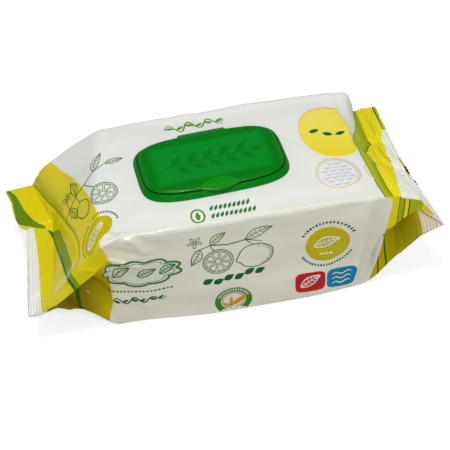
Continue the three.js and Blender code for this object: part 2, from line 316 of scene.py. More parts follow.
# %% [markdown]
# The film is one sheet, folded into a tube and pressed flat at both ends, so it is made as one grid.
# Its rows run along the pack and its columns go once round it: top, front, bottom, back.
# A cloth simulation could crumple it, but the folds of such a pack are set by the folding machine, so
# they are given here as fold lines and softened afterwards.
# A fold line is stated where it meets the front, the pleat and the back: how far out it is beyond the
# body's end, and how high, as a share of the height between the seal and the top panel.

# %% Fold lines of the film
BODY_LENGTH, BODY_WIDTH, BODY_HEIGHT = 174.0, 108.0, 83.2
HALF_LENGTH, HALF_WIDTH = BODY_LENGTH / 2, BODY_WIDTH / 2
TOP_EDGE_DROP = 2.2
FLAT_HALF_LENGTH, FLAT_HALF_WIDTH = 61.9, 35.0
SEAL_WIDTH, SEAL_THICKNESS = 18.0, 1.0
TUCK_DEPTH, EAR_OUT = 26.0, 3.0
GUSSET_WIDTH = 14.0
LEFT_END = {
    "side": -1, "seal": 33.0, "pleat_y": 18.0,
    "front": {"out": [3, 10, 17, 37], "rise": [0.98, 0.83, 0.67, 0.12], "tip_rise": -0.08},
    "pleat": {"out": [-2, 10, 21, 29], "rise": [1, 0.75, 0.46, 0.04], "tip_rise": 0},
    "back": {"out": [-12, 10, 30, 40], "rise": [0.98, 0.74, 0.43, 0.09], "tip_rise": 0.05},
    "hem_back": [3, 2, 2, 1], "hem_drop": [17, 17, 15, 6],
    "foot": {"out": [-2, 7, 19, 36], "rise": [0, 0.3, 0.64, 0.83]},
}
RIGHT_END = {
    "side": 1, "seal": 60.0, "pleat_y": 2.0,
    "front": {"out": [13, 17, 22, 33], "rise": [0.93, 0.86, 0.79, 0.57], "tip_rise": -0.72},
    "pleat": {"out": [3, 7, 11, 18], "rise": [1, 0.76, 0.48, 0.1], "tip_rise": 0},
    "back": {"out": [10, 13, 15, 16], "rise": [0.98, 0.67, 0.38, 0], "tip_rise": 0.05},
    "hem_back": [3, 3, 2, 1], "hem_drop": [31, 26, 18, 6],
    "foot": {"out": [-3, 6, 18, 36], "rise": [0, 0.08, 0.32, 0.63]},
}
BODY_EDGE, SHOULDER, CREASE, ROOT, TIP = range(5)
TUCK_SHARE = [0.08, 0.5, 1, 0.6]
EAR_SHARE = [0, 1, 1, 0.8]
TIP_SHARES = (0.35, 0.65, 1)
SIDE_SHARES = (0.66, 0.33, 0)
TOP_COLUMNS = BOTTOM_COLUMNS = 108
FRONT_COLUMNS, BACK_COLUMNS = 30, 10


def smooth_share(value):
    """0 below 0, 1 above 1, and a smooth step between."""
    t = np.clip(value, 0, 1)
    return t * t * (3 - 2 * t)


def fold_line(end, line, y):
    """Points of a fold line at depths y: straight from the front to the pleat and from it to the back."""
    stated = []
    for where in ("front", "pleat", "back"):
        at = end[where]
        if line == TIP:
            stated.append((at["out"][ROOT] + SEAL_WIDTH, at["tip_rise"]))
        else:
            stated.append((at["out"][line], at["rise"][line]))
    out, rise = (np.interp(y, [-HALF_WIDTH, end["pleat_y"], HALF_WIDTH], column) for column in zip(*stated))
    z = end["seal"] + (BODY_HEIGHT - TOP_EDGE_DROP - end["seal"]) * rise
    return np.stack([end["side"] * (HALF_LENGTH + out), y, z], -1)


def side_points(end, line, turn):
    """Hem, valley and foot of a side panel at a fold line; turn is -1 at the front and 1 at the back."""
    top = fold_line(end, line, np.array([turn * HALF_WIDTH]))[0]
    if line == TIP:
        return [top - [0, 0, share * SEAL_THICKNESS] for share in TIP_SHARES]
    hem = top + [-end["side"] * end["hem_back"][line], turn * EAR_OUT * EAR_SHARE[line],
                 -end["hem_drop"][line]]
    foot = np.array([end["side"] * (HALF_LENGTH + end["foot"]["out"][line]), turn * HALF_WIDTH,
                     end["seal"] * end["foot"]["rise"][line]])
    valley = (hem + foot) / 2
    valley[1] = turn * (HALF_WIDTH - TUCK_DEPTH * TUCK_SHARE[line])
    return [hem, valley, foot]


def straight_runs(points, steps):
    """Points on the straight runs between the given ones, steps to a run, without the last point."""
    p = np.array(points)
    share = np.linspace(0, 1, steps, endpoint=False)[:, None]
    return np.concatenate([p[i] + (p[i + 1] - p[i]) * share for i in range(len(p) - 1)])


def close_ring(top, front, bottom, back):
    """One turn round the pack: top from back to front, front panel down, bottom to the back, back up."""
    down = straight_runs([top[-1], *front], FRONT_COLUMNS)
    up = straight_runs([bottom[-1], *back[::-1][1:], top[0]], BACK_COLUMNS)
    return np.concatenate([top[:-1], down, bottom[:-1], up])


def end_section(end, line):
    """Section of the film at a fold line; in the seal the bottom panel lies one thickness under the top."""
    y_top = np.linspace(HALF_WIDTH, -HALF_WIDTH, TOP_COLUMNS + 1)
    y_bottom = np.linspace(-HALF_WIDTH, HALF_WIDTH, BOTTOM_COLUMNS + 1)
    front, back = side_points(end, line, -1), side_points(end, line, 1)
    if line < ROOT:
        level = np.array([end["side"] * (HALF_LENGTH + end["foot"]["out"][line]), 0,
                          end["seal"] * end["foot"]["rise"][line]])
        bottom = level + y_bottom[:, None] * [0, 1, 0]
    else:
        bottom = fold_line(end, line, y_bottom) - [0, 0, SEAL_THICKNESS]
        for corner, from_edge in ((front[2], y_bottom + HALF_WIDTH), (back[2], HALF_WIDTH - y_bottom)):
            share = np.clip(from_edge / GUSSET_WIDTH, 0, 1)[:, None]
            bottom = corner * (1 - share) + bottom * share
    return close_ring(fold_line(end, line, y_top), front, bottom, back)


def flat_section(x):
    """Section of the filled body: level top that drops a little to its long edges by a smooth step."""
    y_top = np.linspace(HALF_WIDTH, -HALF_WIDTH, TOP_COLUMNS + 1)
    y_bottom = np.linspace(-HALF_WIDTH, HALF_WIDTH, BOTTOM_COLUMNS + 1)
    to_edge = smooth_share((abs(y_top) - FLAT_HALF_WIDTH) / (HALF_WIDTH - FLAT_HALF_WIDTH))
    top = np.stack([0 * y_top + x, y_top, BODY_HEIGHT - TOP_EDGE_DROP * to_edge], -1)
    bottom = np.stack([0 * y_bottom + x, y_bottom, 0 * y_bottom], -1)
    front, back = ([np.array([x, y, share * BODY_HEIGHT]) for share in SIDE_SHARES]
                   for y in (-HALF_WIDTH, HALF_WIDTH))
    return close_ring(top, front, bottom, back)


INWARDS = [TIP, ROOT, CREASE, SHOULDER, BODY_EDGE]
FLAT_START = len(INWARDS)
STATIONS = np.array(
    [end_section(LEFT_END, line) for line in INWARDS]
    + [flat_section(-FLAT_HALF_LENGTH), flat_section(FLAT_HALF_LENGTH)]
    + [end_section(RIGHT_END, line) for line in INWARDS[::-1]]
)
COLUMNS = STATIONS.shape[1]
middle_steps = np.linalg.norm(np.diff(STATIONS[:, TOP_COLUMNS // 2], axis=0), axis=1)
TRAVEL = np.concatenate([[0], np.cumsum(middle_steps)])
MIDDLE = (TRAVEL[FLAT_START] + TRAVEL[FLAT_START + 1]) / 2
print("fold lines lie at these distances along the film:", TRAVEL.round(1).tolist())

# %% [markdown]
# Film does not bend in a knife edge. Each point of the grid becomes the mean of the straight run over a
# short window along the pack, and then of its section over a short window round the pack.
# The window is wider at the back, where the photographed pack droops roundly, and closes at the seals,
# which are pressed flat between heated, grooved bars.
# The bars leave ribs across the seal, and a toothed knife cuts it off in a zigzag.

# %% Soft folds, ribs and zigzag
RIB_PITCH, RIB_HEIGHT = 2.0, 0.42
TOOTH_DEPTH, TOOTH_FADE = 1.0, 3.0
FRONT_SAG = 5.2
SAG_START, SAG_FADE = (-78, -12), (40, 110)
FOLD_WINDOW_FRONT, FOLD_WINDOW_BACK = 2.5, 4.0
EDGE_WINDOW = 3.0
CRISP_STEPS = [0.05, 0.1, 0.25, 0.4, 0.8, 1]
EDGE_SHARE = np.array(CRISP_STEPS + CRISP_STEPS[::-1])
ROWS_PER_STRETCH = [46, 16, 16, 20, 32, 32, 30, 20, 16, 16, 46]
WINDOW = np.linspace(-1, 1, 9)


def film_distances():
    """Distance along the film of every grid point; near a cut tip every other column is drawn back."""
    runs = [np.linspace(TRAVEL[j], TRAVEL[j + 1], n, endpoint=False) for j, n in enumerate(ROWS_PER_STRETCH)]
    rows = np.concatenate(runs + [[TRAVEL[-1]]])
    tooth = np.zeros(COLUMNS)
    tooth[1:TOP_COLUMNS:2] = 1
    bottom = TOP_COLUMNS + 3 * FRONT_COLUMNS
    tooth[bottom + 1:bottom + BOTTOM_COLUMNS:2] = 1
    left, right = (np.clip(1 - gap / TOOTH_FADE, 0, 1) for gap in (rows, TRAVEL[-1] - rows))
    return rows[:, None] + TOOTH_DEPTH * tooth * (left - right)[:, None]


def soft_sections(distance):
    """Grid points at the given distances: mean over a window of the straight runs between fold lines."""
    depth = smooth_share((STATIONS[FLAT_START - 1][:, 1] + HALF_WIDTH) / BODY_WIDTH)
    wanted = FOLD_WINDOW_FRONT + (FOLD_WINDOW_BACK - FOLD_WINDOW_FRONT) * depth
    from_seal = np.minimum(distance - TRAVEL[1], TRAVEL[-2] - distance)
    reach = np.clip(np.minimum(wanted, from_seal), 0, None)
    column = np.arange(COLUMNS)[None, :]
    total = 0
    for share in WINDOW:
        at = np.clip(distance + share * reach, 0, TRAVEL[-1])
        j = np.clip(np.searchsorted(TRAVEL, at, side="right") - 1, 0, len(TRAVEL) - 2)
        t = ((at - TRAVEL[j]) / (TRAVEL[j + 1] - TRAVEL[j]))[..., None]
        total = total + STATIONS[j, column] * (1 - t) + STATIONS[j + 1, column] * t
    return total / len(WINDOW)


def round_long_edges(rings, window):
    """Each point becomes the mean of its ring over plus or minus window, measured round the ring."""
    steps = np.linalg.norm(np.roll(rings, -1, 1) - rings, axis=2)
    place = np.concatenate([np.zeros((len(rings), 1)), np.cumsum(steps, 1)], 1)
    girth = place[:, -1:]
    around = np.concatenate([place[:, :-1] - girth, place[:, :-1], place[:, :-1] + girth], 1)
    tripled = np.concatenate([rings] * 3, 1)
    out = np.zeros_like(rings)
    for r in range(len(rings)):
        for share in WINDOW:
            at = place[r, :-1] + share * window[r]
            out[r] += np.stack([np.interp(at, around[r], tripled[r, :, axis]) for axis in range(3)], -1)
    return out / len(WINDOW)


def seal_ribs(distance):
    """Height of the ribs: a cosine across the seal that fades out just before the seal's root."""
    from_root = np.maximum(TRAVEL[1] - distance, distance - TRAVEL[-2])
    return 0.5 * RIB_HEIGHT * np.cos(2 * np.pi * from_root / RIB_PITCH) * np.clip(from_root / RIB_PITCH, 0, 1)


def sagged(grid):
    """The front leans out: a smooth step along the pack, times one down the front, times depth."""
    x = grid[..., 0]
    start, fade = (smooth_share((x - first) / (last - first)) for first, last in (SAG_START, SAG_FADE))
    low = smooth_share(1 - grid[..., 2] / BODY_HEIGHT)
    near = np.clip(-grid[..., 1] / HALF_WIDTH, 0, 1)
    out = grid.copy()
    out[..., 1] -= FRONT_SAG * start * (1 - fade) * low * near
    return out


distances = film_distances()
film_grid = round_long_edges(sagged(soft_sections(distances)),
                             EDGE_WINDOW * np.interp(distances[:, 0], TRAVEL, EDGE_SHARE))
film_grid[..., 2] += seal_ribs(distances)
print("film grid", film_grid.shape[:2], "rows and columns")

# %% [markdown]
# A place on the film is given as it would be on the flat printed web, before folding: s millimetres along
# it from the pack's middle, and g millimetres round it. On the top panel g is the depth y, and it runs on
# down the front panel, so that the front's lower edge is at g = -54 - 83.
# These two numbers are also stored on the points, and the print and the creases are placed by them.

# %% Places on the flat web
FRONT_START = TOP_COLUMNS
BOTTOM_START = FRONT_START + 3 * FRONT_COLUMNS
BACK_START = BOTTOM_START + BOTTOM_COLUMNS
LOWER_EDGE = -HALF_WIDTH - BODY_HEIGHT
along_web = distances - MIDDLE
round_web = np.interp(
    np.arange(COLUMNS),
    [0, FRONT_START, BOTTOM_START, BACK_START],
    [HALF_WIDTH, -HALF_WIDTH, LOWER_EDGE, LOWER_EDGE - BODY_WIDTH],
)
round_web[BACK_START:] = np.linspace(HALF_WIDTH + BODY_HEIGHT, HALF_WIDTH, 3 * BACK_COLUMNS, endpoint=False)
round_web = np.broadcast_to(round_web, along_web.shape)
print("web from s", along_web.min().round(1), "to", along_web.max().round(1), "mm")

# %% [markdown]
# Creases come next: a few sharp ones that meet like a star at the front corner, where the top, the front
# and the end slope pull on one point, and soft dents on the front. Sculpting could add them, but then no
# line of the file would say where they are. So each is a ridge or a valley along a straight line on the
# web, given as start, end, height and width: a bell curve across it, which fades out at its two ends.

# %% Creases
def crease(start, end, height, width, blunt=0.15):
    """Ridge along a line on the web: a bell curve across it, fading to nothing at its two ends."""
    a, b = np.array(start, float), np.array(end, float)
    run = b - a
    to_s, to_g = along_web - a[0], round_web - a[1]
    share = (to_s * run[0] + to_g * run[1]) / (run @ run)
    inside = np.clip(share, 0, 1)
    gap = np.hypot(to_s - inside * run[0], to_g - inside * run[1])
    fade = np.clip(np.minimum(inside, 1 - inside) / blunt, 0, 1)
    return height * fade * np.exp(-((gap / width) ** 2))


STAR_CREASES = [
    ((-70, -49), (-90, -59.5), 1.7, 1.5), ((-88, -62), (-66, -74), -2.0, 2.6),
    ((-89, -75), (-64, -86), 1.7, 2.1), ((-86, -87), (-68, -96), -0.9, 2.4),
    ((-72, -54), (-61, -74), 1.0, 2.0), ((-67, -53), (-52, -70), -0.9, 2.6),
    ((-60, -53), (-44, -66), 0.5, 2.6), ((-76, -50), (-92, -44), 0.7, 1.8),
    ((-75, -49), (-86, -34), -0.5, 2.2),
]
LONG_EDGE_CREASES = [
    ((-74, -52.5), (-20, -53), 0.5, 1.1), ((-30, -52.5), (30, -53), 0.35, 1.2),
    ((20, -53), (80, -51), 0.4, 1.4), ((-62, 54), (116, 50), 1.7, 5.0),
]
FRONT_DENTS = [
    ((24, -56), (34, -130), -0.7, 5.0), ((-18, -56), (-24, -120), 0.4, 5.0),
    ((-52, -60), (-46, -128), -0.5, 6.0), ((79.5, -48), (81, -128), 1.3, 3.0),
    ((70, -54), (66, -96), -0.5, 5.0), ((8, -54), (4, -84), -0.35, 3.5),
    ((-84, -112), (-58, -124), 0.6, 3.0), ((-36, -118), (-30, -136), -0.5, 3.0),
]
SLOPE_CREASES = [
    ((-60, 50), (-86, 16), 0.4, 5.0), ((-77, 48), (-70, 14), -0.5, 3.0),
    ((84, -50), (70, -30), 0.35, 4.0), ((-104, -52), (-128, -30), 0.4, 3.0),
    ((-100, -80), (-120, -60), 0.6, 2.0), ((-120, 22), (-139, 10), 0.5, 2.5),
    ((-141, 50), (-152, 30), 0.5, 1.6), ((-143, 36), (-147, 18), -0.5, 1.4),
    ((-138, 30), (-143, 12), 0.6, 1.8),
]
PINCH_CREASES = [
    ((104, 24), (116, 19), -0.8, 1.6), ((97, 0), (108, -11), -1.2, 1.7),
    ((118, 17), (127, 22), -0.3, 1.3), ((105, -11), (122, -9), -0.9, 1.3),
    ((99, 12), (111, 10), 0.8, 1.6), ((96, -12), (104, -6), 0.7, 1.5),
]
print("creases:", sum(map(len, (STAR_CREASES, LONG_EDGE_CREASES, FRONT_DENTS, SLOPE_CREASES, PINCH_CREASES))))

# %% [markdown]
# The left slope has one long fold with several bends, so it follows a list of points instead of one line.
# At the right the top ends in a crease, beyond which the film turns down at once, as the edge of the stack
# below it is square.

# %% Long folds
LEFT_FOLD = [(-139.7, 54), (-137, 44), (-135.4, 33), (-132.5, 23), (-124.9, 7), (-119.3, -10), (-114.2, -25),
             (-113.3, -36), (-114.4, -42), (-117, -50), (-124, -54.5), (-131, -59)]
LEFT_BEND = [(-127, 54), (-125.1, 42), (-124, 27), (-119.7, 9), (-112, -4)]
FLAP_CREASE = ([-60, 5.8, 14.5, 24, 31, 45.8, 54], [200, 91.4, 88.9, 87.2, 84.9, 82.5, 80.5])
FLAP_FALL, FLAP_RUN = 1.3, 15.0
PEAK_SHARE = 4 / 27
SWELL_OUT, SWELL_WIDTH = 3, 2.5


def flap_fall():
    """Beyond the crease the film falls: t times (1 - t) squared, which peaks a third of the way along."""
    at_g, at_s = FLAP_CREASE
    t = np.clip((along_web - np.interp(round_web, at_g, at_s)) / FLAP_RUN, 0, 1)
    return -FLAP_FALL / PEAK_SHARE * t * (1 - t) ** 2 * (round_web < HALF_WIDTH + 1)


def fold_along(points, ridge, width, share=0.5):
    """Fold that follows several points: a narrow groove with a broad, low swell on its outer side."""
    gap = np.full(along_web.shape, np.inf)
    beside = np.zeros_like(along_web)
    for (s0, g0), (s1, g1) in zip(points[:-1], points[1:]):
        run = np.array([s1 - s0, g1 - g0], float)
        at = np.clip(((along_web - s0) * run[0] + (round_web - g0) * run[1]) / (run @ run), 0, 1)
        ds, dg = along_web - s0 - at * run[0], round_web - g0 - at * run[1]
        here = np.hypot(ds, dg)
        nearer = here < gap
        side = np.sign(ds * run[1] - dg * run[0])
        beside = np.where(nearer, side * here, beside)
        gap = np.minimum(gap, here)
    swell = np.exp(-(((beside - SWELL_OUT * width) / (SWELL_WIDTH * width)) ** 2))
    return ridge * (share * swell - np.exp(-((gap / width) ** 2)))


print("bends in the two long folds:", len(LEFT_FOLD), len(LEFT_BEND))

# %% [markdown]
# No panel of film is quite flat. A gentle ripple keeps it from looking like sheet metal: a sum of waves in
# random directions, which a seed fixes.

# %% Ripple
RIPPLE_SEED = 7
RIPPLE_WAVES = 26
RIPPLE_LENGTH = (16.0, 60.0)
RIPPLE_HEIGHT = 0.16
CALM_MIDDLE, CALM_HALF, CALM_FADE = (-8, -2), (54, 33), 8
SEAL_FADE = 10
RESTING_HEIGHT = 3


def ripple():
    """Sum of plane waves over the web, with seeded directions, lengths and phases; longer ones are higher."""
    draw = np.random.default_rng(RIPPLE_SEED)
    total = np.zeros_like(along_web)
    for _ in range(RIPPLE_WAVES):
        turn, phase = draw.uniform(0, np.pi), draw.uniform(0, 2 * np.pi)
        length = draw.uniform(*RIPPLE_LENGTH)
        travel = along_web * np.cos(turn) + round_web * np.sin(turn)
        total += np.sin(2 * np.pi * travel / length + phase) * length / RIPPLE_LENGTH[1]
    return RIPPLE_HEIGHT * total


def calm_share():
    """How freely the film may ripple: not at the seals, under the dispenser or where it rests."""
    from_seal = np.minimum(distances - TRAVEL[1], TRAVEL[-2] - distances)
    free = np.clip(from_seal / SEAL_FADE, 0, 1)
    beside_s, beside_g = abs(along_web - CALM_MIDDLE[0]), abs(round_web - CALM_MIDDLE[1])
    beside = np.maximum(beside_s - CALM_HALF[0], beside_g - CALM_HALF[1])
    on_panel = abs(round_web) < HALF_WIDTH
    free = np.where(on_panel, free * np.clip(beside / CALM_FADE, 0, 1), free)
    resting = (film_grid[..., 2] < RESTING_HEIGHT) & (abs(film_grid[..., 0]) < HALF_LENGTH)
    return np.where(resting, 0, free)


film_ripple = ripple() * calm_share()
print("ripple up to", abs(film_ripple).max().round(2), "mm")

# %% [markdown]
# Creases, folds and ripple are heights, so each point of the grid is moved by their sum along its normal.
# A bump in the material could fake them, but then the outline of the pack would stay smooth.

# %% Relief of the film
FLAT_STEP = 1e-9


def outward_normals(grid):
    """Unit normal of each grid point: across the ring crossed with along the pack, up on the top panel."""
    along = np.gradient(grid, axis=0)
    across = np.roll(grid, -1, 1) - np.roll(grid, 1, 1)
    normal = np.cross(across, along)
    upwards = np.sign(normal[len(grid) // 2, TOP_COLUMNS // 2, 2])
    return upwards * normal / (np.linalg.norm(normal, axis=2, keepdims=True) + FLAT_STEP)


creases = STAR_CREASES + LONG_EDGE_CREASES + FRONT_DENTS + SLOPE_CREASES + PINCH_CREASES
relief = sum(crease(*line) for line in creases) + film_ripple
relief += fold_along(LEFT_FOLD, ridge=0.8, width=0.8, share=0.4)
relief += fold_along(LEFT_BEND, ridge=0.3, width=1.4) + flap_fall()
normals = outward_normals(film_grid)
film_grid = film_grid + normals * relief[..., None]
print("relief from", relief.min().round(1), "to", relief.max().round(1), "mm")

# %% [markdown]
# At the left end the seal is folded over itself where the pleat meets it: the far part lies on the near
# part, one layer higher, and flares out past it. On the right the end is bunched: its seal puffs up into
# three cushions between pinches, and the ribs there are wider and run on up the slope.
# A cushion is a low arch between two pinches, flattened by a power below one, so that the pinches stay
# sharp. Nothing may sink below the table, so the grid is kept at or above it at the end.

# %% Overlap at the pleat, cushions and wide ribs on the right
OVERLAP_STEP, OVERLAP_WIDTH = 1.3, 1.2
OVERLAP_LEAD, OVERLAP_RUN = 4.0, 6.0
CORNER_DROOP, CORNER_WIDTH, CORNER_LEAD, CORNER_RUN = 5.0, 13.0, 2.0, 16.0
FAR_FLARE, FLARE_RUN = 4.5, 22.0
FLARE_EDGE, FLARE_FADE = 50.0, 26.0
WIDE_RIB_PITCH, WIDE_RIB_HEIGHT, WIDE_RIB_FADE = 2.7, 1.1, 3.0
RIB_WOBBLE, RIB_WOBBLE_LENGTH = 0.5, 44.0
RIB_START_G = [-56, -45, -36, -26, -18, -10.4, -8, -4, 10.6, 16, 20, 38, 54]
RIB_START_S = [93.7, 92.8, 93.1, 95.6, 100, 105.5, 103, 103, 112, 117.5, 116, 117.2, 117.8]
CUSHION_ENDS = [-56, -10.4, 16, 56]
CUSHION_HEIGHT, CUSHION_POWER, CUSHION_RUN, CUSHION_FADE = 1.7, 0.55, 5.0, 12.0


def towards_left_tip(lead, run):
    """Smooth step that starts a lead before the left seal's root and ends after its run."""
    return smooth_share((TRAVEL[1] + lead - distances) / run)


def before_right_tip(run):
    """1 up to a run before the right tip, and a smooth step down to 0 at it."""
    return smooth_share((TRAVEL[-1] - distances) / run)


def cushions(past):
    """Arch between neighbouring pinches, rising over a few millimetres past the line where ribs start."""
    place = np.interp(round_web, CUSHION_ENDS, np.arange(len(CUSHION_ENDS)))
    share = place - np.floor(place)
    arch = (4 * share * (1 - share)) ** CUSHION_POWER
    return CUSHION_HEIGHT * arch * smooth_share(past / CUSHION_RUN) * before_right_tip(CUSHION_FADE)


def wide_ribs(past):
    """Cosine across the seal, its lines bowed a little by a slow wave, from the rib start to the seal."""
    bowed = along_web.max() - along_web + RIB_WOBBLE * np.sin(2 * np.pi * round_web / RIB_WOBBLE_LENGTH)
    wave = 0.5 * WIDE_RIB_HEIGHT * np.cos(2 * np.pi * bowed / WIDE_RIB_PITCH)
    return wave * smooth_share(past / WIDE_RIB_FADE) * before_right_tip(WIDE_RIB_FADE)


on_top_columns = np.arange(COLUMNS) <= FRONT_START
beyond_pleat = smooth_share((film_grid[..., 1] - LEFT_END["pleat_y"]) / OVERLAP_WIDTH + 0.5)
film_grid[..., 2] += OVERLAP_STEP * towards_left_tip(OVERLAP_LEAD, OVERLAP_RUN) * beyond_pleat
flared = beyond_pleat * smooth_share((FLARE_EDGE - film_grid[..., 1]) / FLARE_FADE)
film_grid[..., 0] -= FAR_FLARE * flared * towards_left_tip(OVERLAP_LEAD, FLARE_RUN)
near_corner = smooth_share((-HALF_WIDTH + CORNER_WIDTH - film_grid[..., 1]) / CORNER_WIDTH)
film_grid[..., 2] -= CORNER_DROOP * near_corner * towards_left_tip(CORNER_LEAD, CORNER_RUN)
past_rib_start = along_web - np.interp(round_web, RIB_START_G, RIB_START_S)
puffed = (cushions(past_rib_start) + wide_ribs(past_rib_start)) * on_top_columns
film_grid += normals * puffed[..., None]
film_grid[..., 2] = np.maximum(film_grid[..., 2], 0)
print("cushions and wide ribs rise up to", puffed.max().round(1), "mm")

# %% [markdown]
# The grid becomes one closed mesh. Its columns already meet round the pack, so only the two cut tips are
# open: there the top and the bottom layer are joined by narrow faces, which are the film's thickness.

# %% Mesh of the film
def grid_faces(rows, columns):
    """Quads between neighbouring rows of a grid whose columns close on themselves."""
    here = np.arange(rows - 1)[:, None] * columns
    i = np.arange(columns)
    following = (i + 1) % columns
    quads = np.stack([here + i, here + following, here + columns + following, here + columns + i], -1)
    return quads.reshape(-1, 4)


def mesh_piece(name, vertices, faces):
    """A new smooth-shaded object at the origin from vertices in millimetres and lists of faces."""
    mesh = bpy.data.meshes.new(name)
    mesh.from_pydata((np.asarray(vertices) * MM).tolist(), [], [list(face) for face in faces])
    mesh.validate()
    mesh.update()
    mesh.polygons.foreach_set("use_smooth", np.ones(len(mesh.polygons), bool))
    piece = bpy.data.objects.new(name, mesh)
    bpy.context.scene.collection.objects.link(piece)
    return piece


def close_tip(row, outward_first):
    """Faces that close a flattened end: quads between top and bottom layer, slivers down the two sides."""
    start = row * COLUMNS
    top = np.arange(TOP_COLUMNS + 1)
    below = start + (BACK_START - top) % COLUMNS
    faces = [[start + top[i], start + top[i + 1], below[i + 1], below[i]] for i in range(TOP_COLUMNS)]
    front = [start + k for k in range(FRONT_START, BOTTOM_START + 1)]
    back = [start + k % COLUMNS for k in range(BACK_START, COLUMNS + 1)]
    for side in (front, back):
        faces += [[side[0], side[k + 1], side[k]] for k in range(1, len(side) - 1)]
    return faces if outward_first else [face[::-1] for face in faces]


last_row = len(film_grid) - 1
film_faces = grid_faces(*film_grid.shape[:2]).tolist() + close_tip(0, False) + close_tip(last_row, True)
film = mesh_piece("film", film_grid.reshape(-1, 3), film_faces)
print("film:", len(film.data.vertices), "points,", len(film.data.polygons), "faces")

# %% [markdown]
# The web is printed in flat fields before it is folded: white in the middle, yellow towards both ends, a
# green leaf shape and a green stripe on the left, and bare film along the cut edges.
# Each field's edge is stated at a few depths g as its place s. What the material gets is the distance in
# millimetres past that edge, stored on the points, so an edge stays crisp between two points of the grid.

# %% Edges of the printed fields
FIELD_EDGES = {
    "past_left_print": (-1, [-137, -128, -118, -97, -83, -58, -30.6, -5.5, 12, 37, 54],
                        [-95.1, -91.6, -87, -87.6, -83.5, -87.3, -84.5, -92.4, -98.7, -108.7, -112.9]),
    "past_right_print": (1, [-137, -130, -120.5, -119, -82, -73, -57, -55, -43,
                             -30, -14, -5, 6, 18, 31, 47, 54],
                         [93, 94.3, 99.7, 101, 91.7, 92.3, 93.2, 87.3, 86.6,
                          87.3, 88.2, 90.7, 91.4, 97.2, 101, 104, 104]),
    "past_left_fold": (-1, [at[1] for at in LEFT_FOLD[::-1]], [at[0] for at in LEFT_FOLD[::-1]]),
    "past_left_band": (-1, [-137, -6, -5, 9, 21, 54], [-200, -200, -121, -119.7, -123.8, -127]),
    "past_left_bare": (-1, [-137, -75, -37, -18, 1, 17, 17.6, 54],
                       [-148, -151, -151.1, -152.1, -153.5, -155.6, -175, -175]),
    "past_right_bare": (1, [-137, -82, -81, -71, -57, -55.7, -36.8,
                            -22.4, -9.1, 8.8, 18.5, 29, 30, 54],
                        [115.4, 110.5, 118, 124.2, 125, 100.3, 106.4,
                         113.8, 121.8, 124.7, 125.2, 128.8, 150, 150]),
    "past_rib_start": (1, RIB_START_G, RIB_START_S),
    "past_stripe_start": (1, [-137, -127, -80, -50.5, -40, -28.5, -12.4, 4.2, 12.1],
                          [-121.8, -123.4, -126.6, -129.5, -131.1, -133, -137.1, -142.6, -145.5]),
    "past_stripe_end": (1, [-137, -80, -54, -47, -36, -24, -16, -4.6, 17],
                        [-118, -122, -124.8, -123, -123.8, -124.9, -126.8, -128.8, -131]),
    "past_leaf_start": (1, [13.5, 17, 22, 54], [-146.9, -154, -159.2, -159.2]),
    "past_leaf_end": (1, [13.7, 21.1, 34.4, 47.7, 54], [-146.9, -150.3, -153.2, -155.1, -157.2]),
}
STRIPE_TOP = {"g": 12, "slope": 0.88, "s": -146}
TIGHT_EDGE = {"g": 1 - HALF_WIDTH, "width": 5, "end_s": -38, "fade": 16}
TIGHT_STAR = {"g": -66, "width_g": 12, "s": -78, "width_s": 13, "share": 0.4}
TIGHT_SEAL = {"middle_s": -5, "reach": 126, "fade": 3, "share": 0.35}


def store_number(piece, name, values):
    """Keeps one number at each point of a piece, for its material to read."""
    layer = piece.data.attributes.new(name, "FLOAT", "POINT")
    layer.data.foreach_set("value", np.asarray(values, np.float32).ravel())


def tight_share():
    """How taut and glossy the film is: on the left half of its front edge, at the star and on the seals."""
    edge, star, seal = TIGHT_EDGE, TIGHT_STAR, TIGHT_SEAL
    on_edge = np.exp(-((round_web - edge["g"]) / edge["width"]) ** 2)
    on_edge = on_edge * smooth_share((edge["end_s"] - along_web) / edge["fade"])
    star_g, star_s = (round_web - star["g"]) / star["width_g"], (along_web - star["s"]) / star["width_s"]
    at_star = star["share"] * np.exp(-(star_g**2) - star_s**2)
    on_seal = seal["share"] * smooth_share((abs(along_web - seal["middle_s"]) - seal["reach"]) / seal["fade"])
    return np.clip(on_edge + at_star + on_seal, 0, 1)


for field, (side, at_g, at_s) in FIELD_EDGES.items():
    store_number(film, field, side * (along_web - np.interp(round_web, at_g, at_s)))
stripe_top = STRIPE_TOP["g"] - STRIPE_TOP["slope"] * (along_web - STRIPE_TOP["s"])
store_number(film, "below_stripe_top", stripe_top - round_web)
store_number(film, "web_s", along_web)
store_number(film, "web_g", round_web)
store_number(film, "tight", tight_share())
print("printed fields:", len(FIELD_EDGES))

# %% [markdown]
# The film's material mixes one ink after another over white, each where its field says. An image could hold
# the same fields, but its dots would show up close, while a stored distance gives a sharp edge at any size.

# %% Inks of the film
WHITE_FILM = srgb(226, 227, 222)
# Painted warm bounce light: the cream that the white turns to down the front panel.
BOUNCE_CREAM_FILM = srgb(226, 217, 178)
BARE_FILM = srgb(232, 233, 222)
PALE_YELLOW = srgb(218, 203, 44)
BAND_YELLOW = srgb(192, 184, 30)
# Painted shade beside the left fold.
FOLD_SHADE_OLIVE = srgb(160, 164, 12)
BRIGHT_YELLOW = srgb(218, 202, 0)
RIB_YELLOW = srgb(230, 216, 30)
FACET_YELLOW = srgb(218, 203, 0)
# Painted shade in the tucks.
TUCK_SHADE_OLIVE = srgb(164, 148, 0)
LEAF_GREEN = srgb(96, 134, 0)
STRIPE_GREEN = srgb(126, 152, 0)
LINE_GREEN = srgb(44, 104, 4)
SPRING_GREEN = srgb(172, 184, 22)
# Painted shade on creases and towards the pinches.
CREASE_SHADE_OLIVE = srgb(146, 160, 4)
FACET_OLIVE = srgb(160, 168, 6)
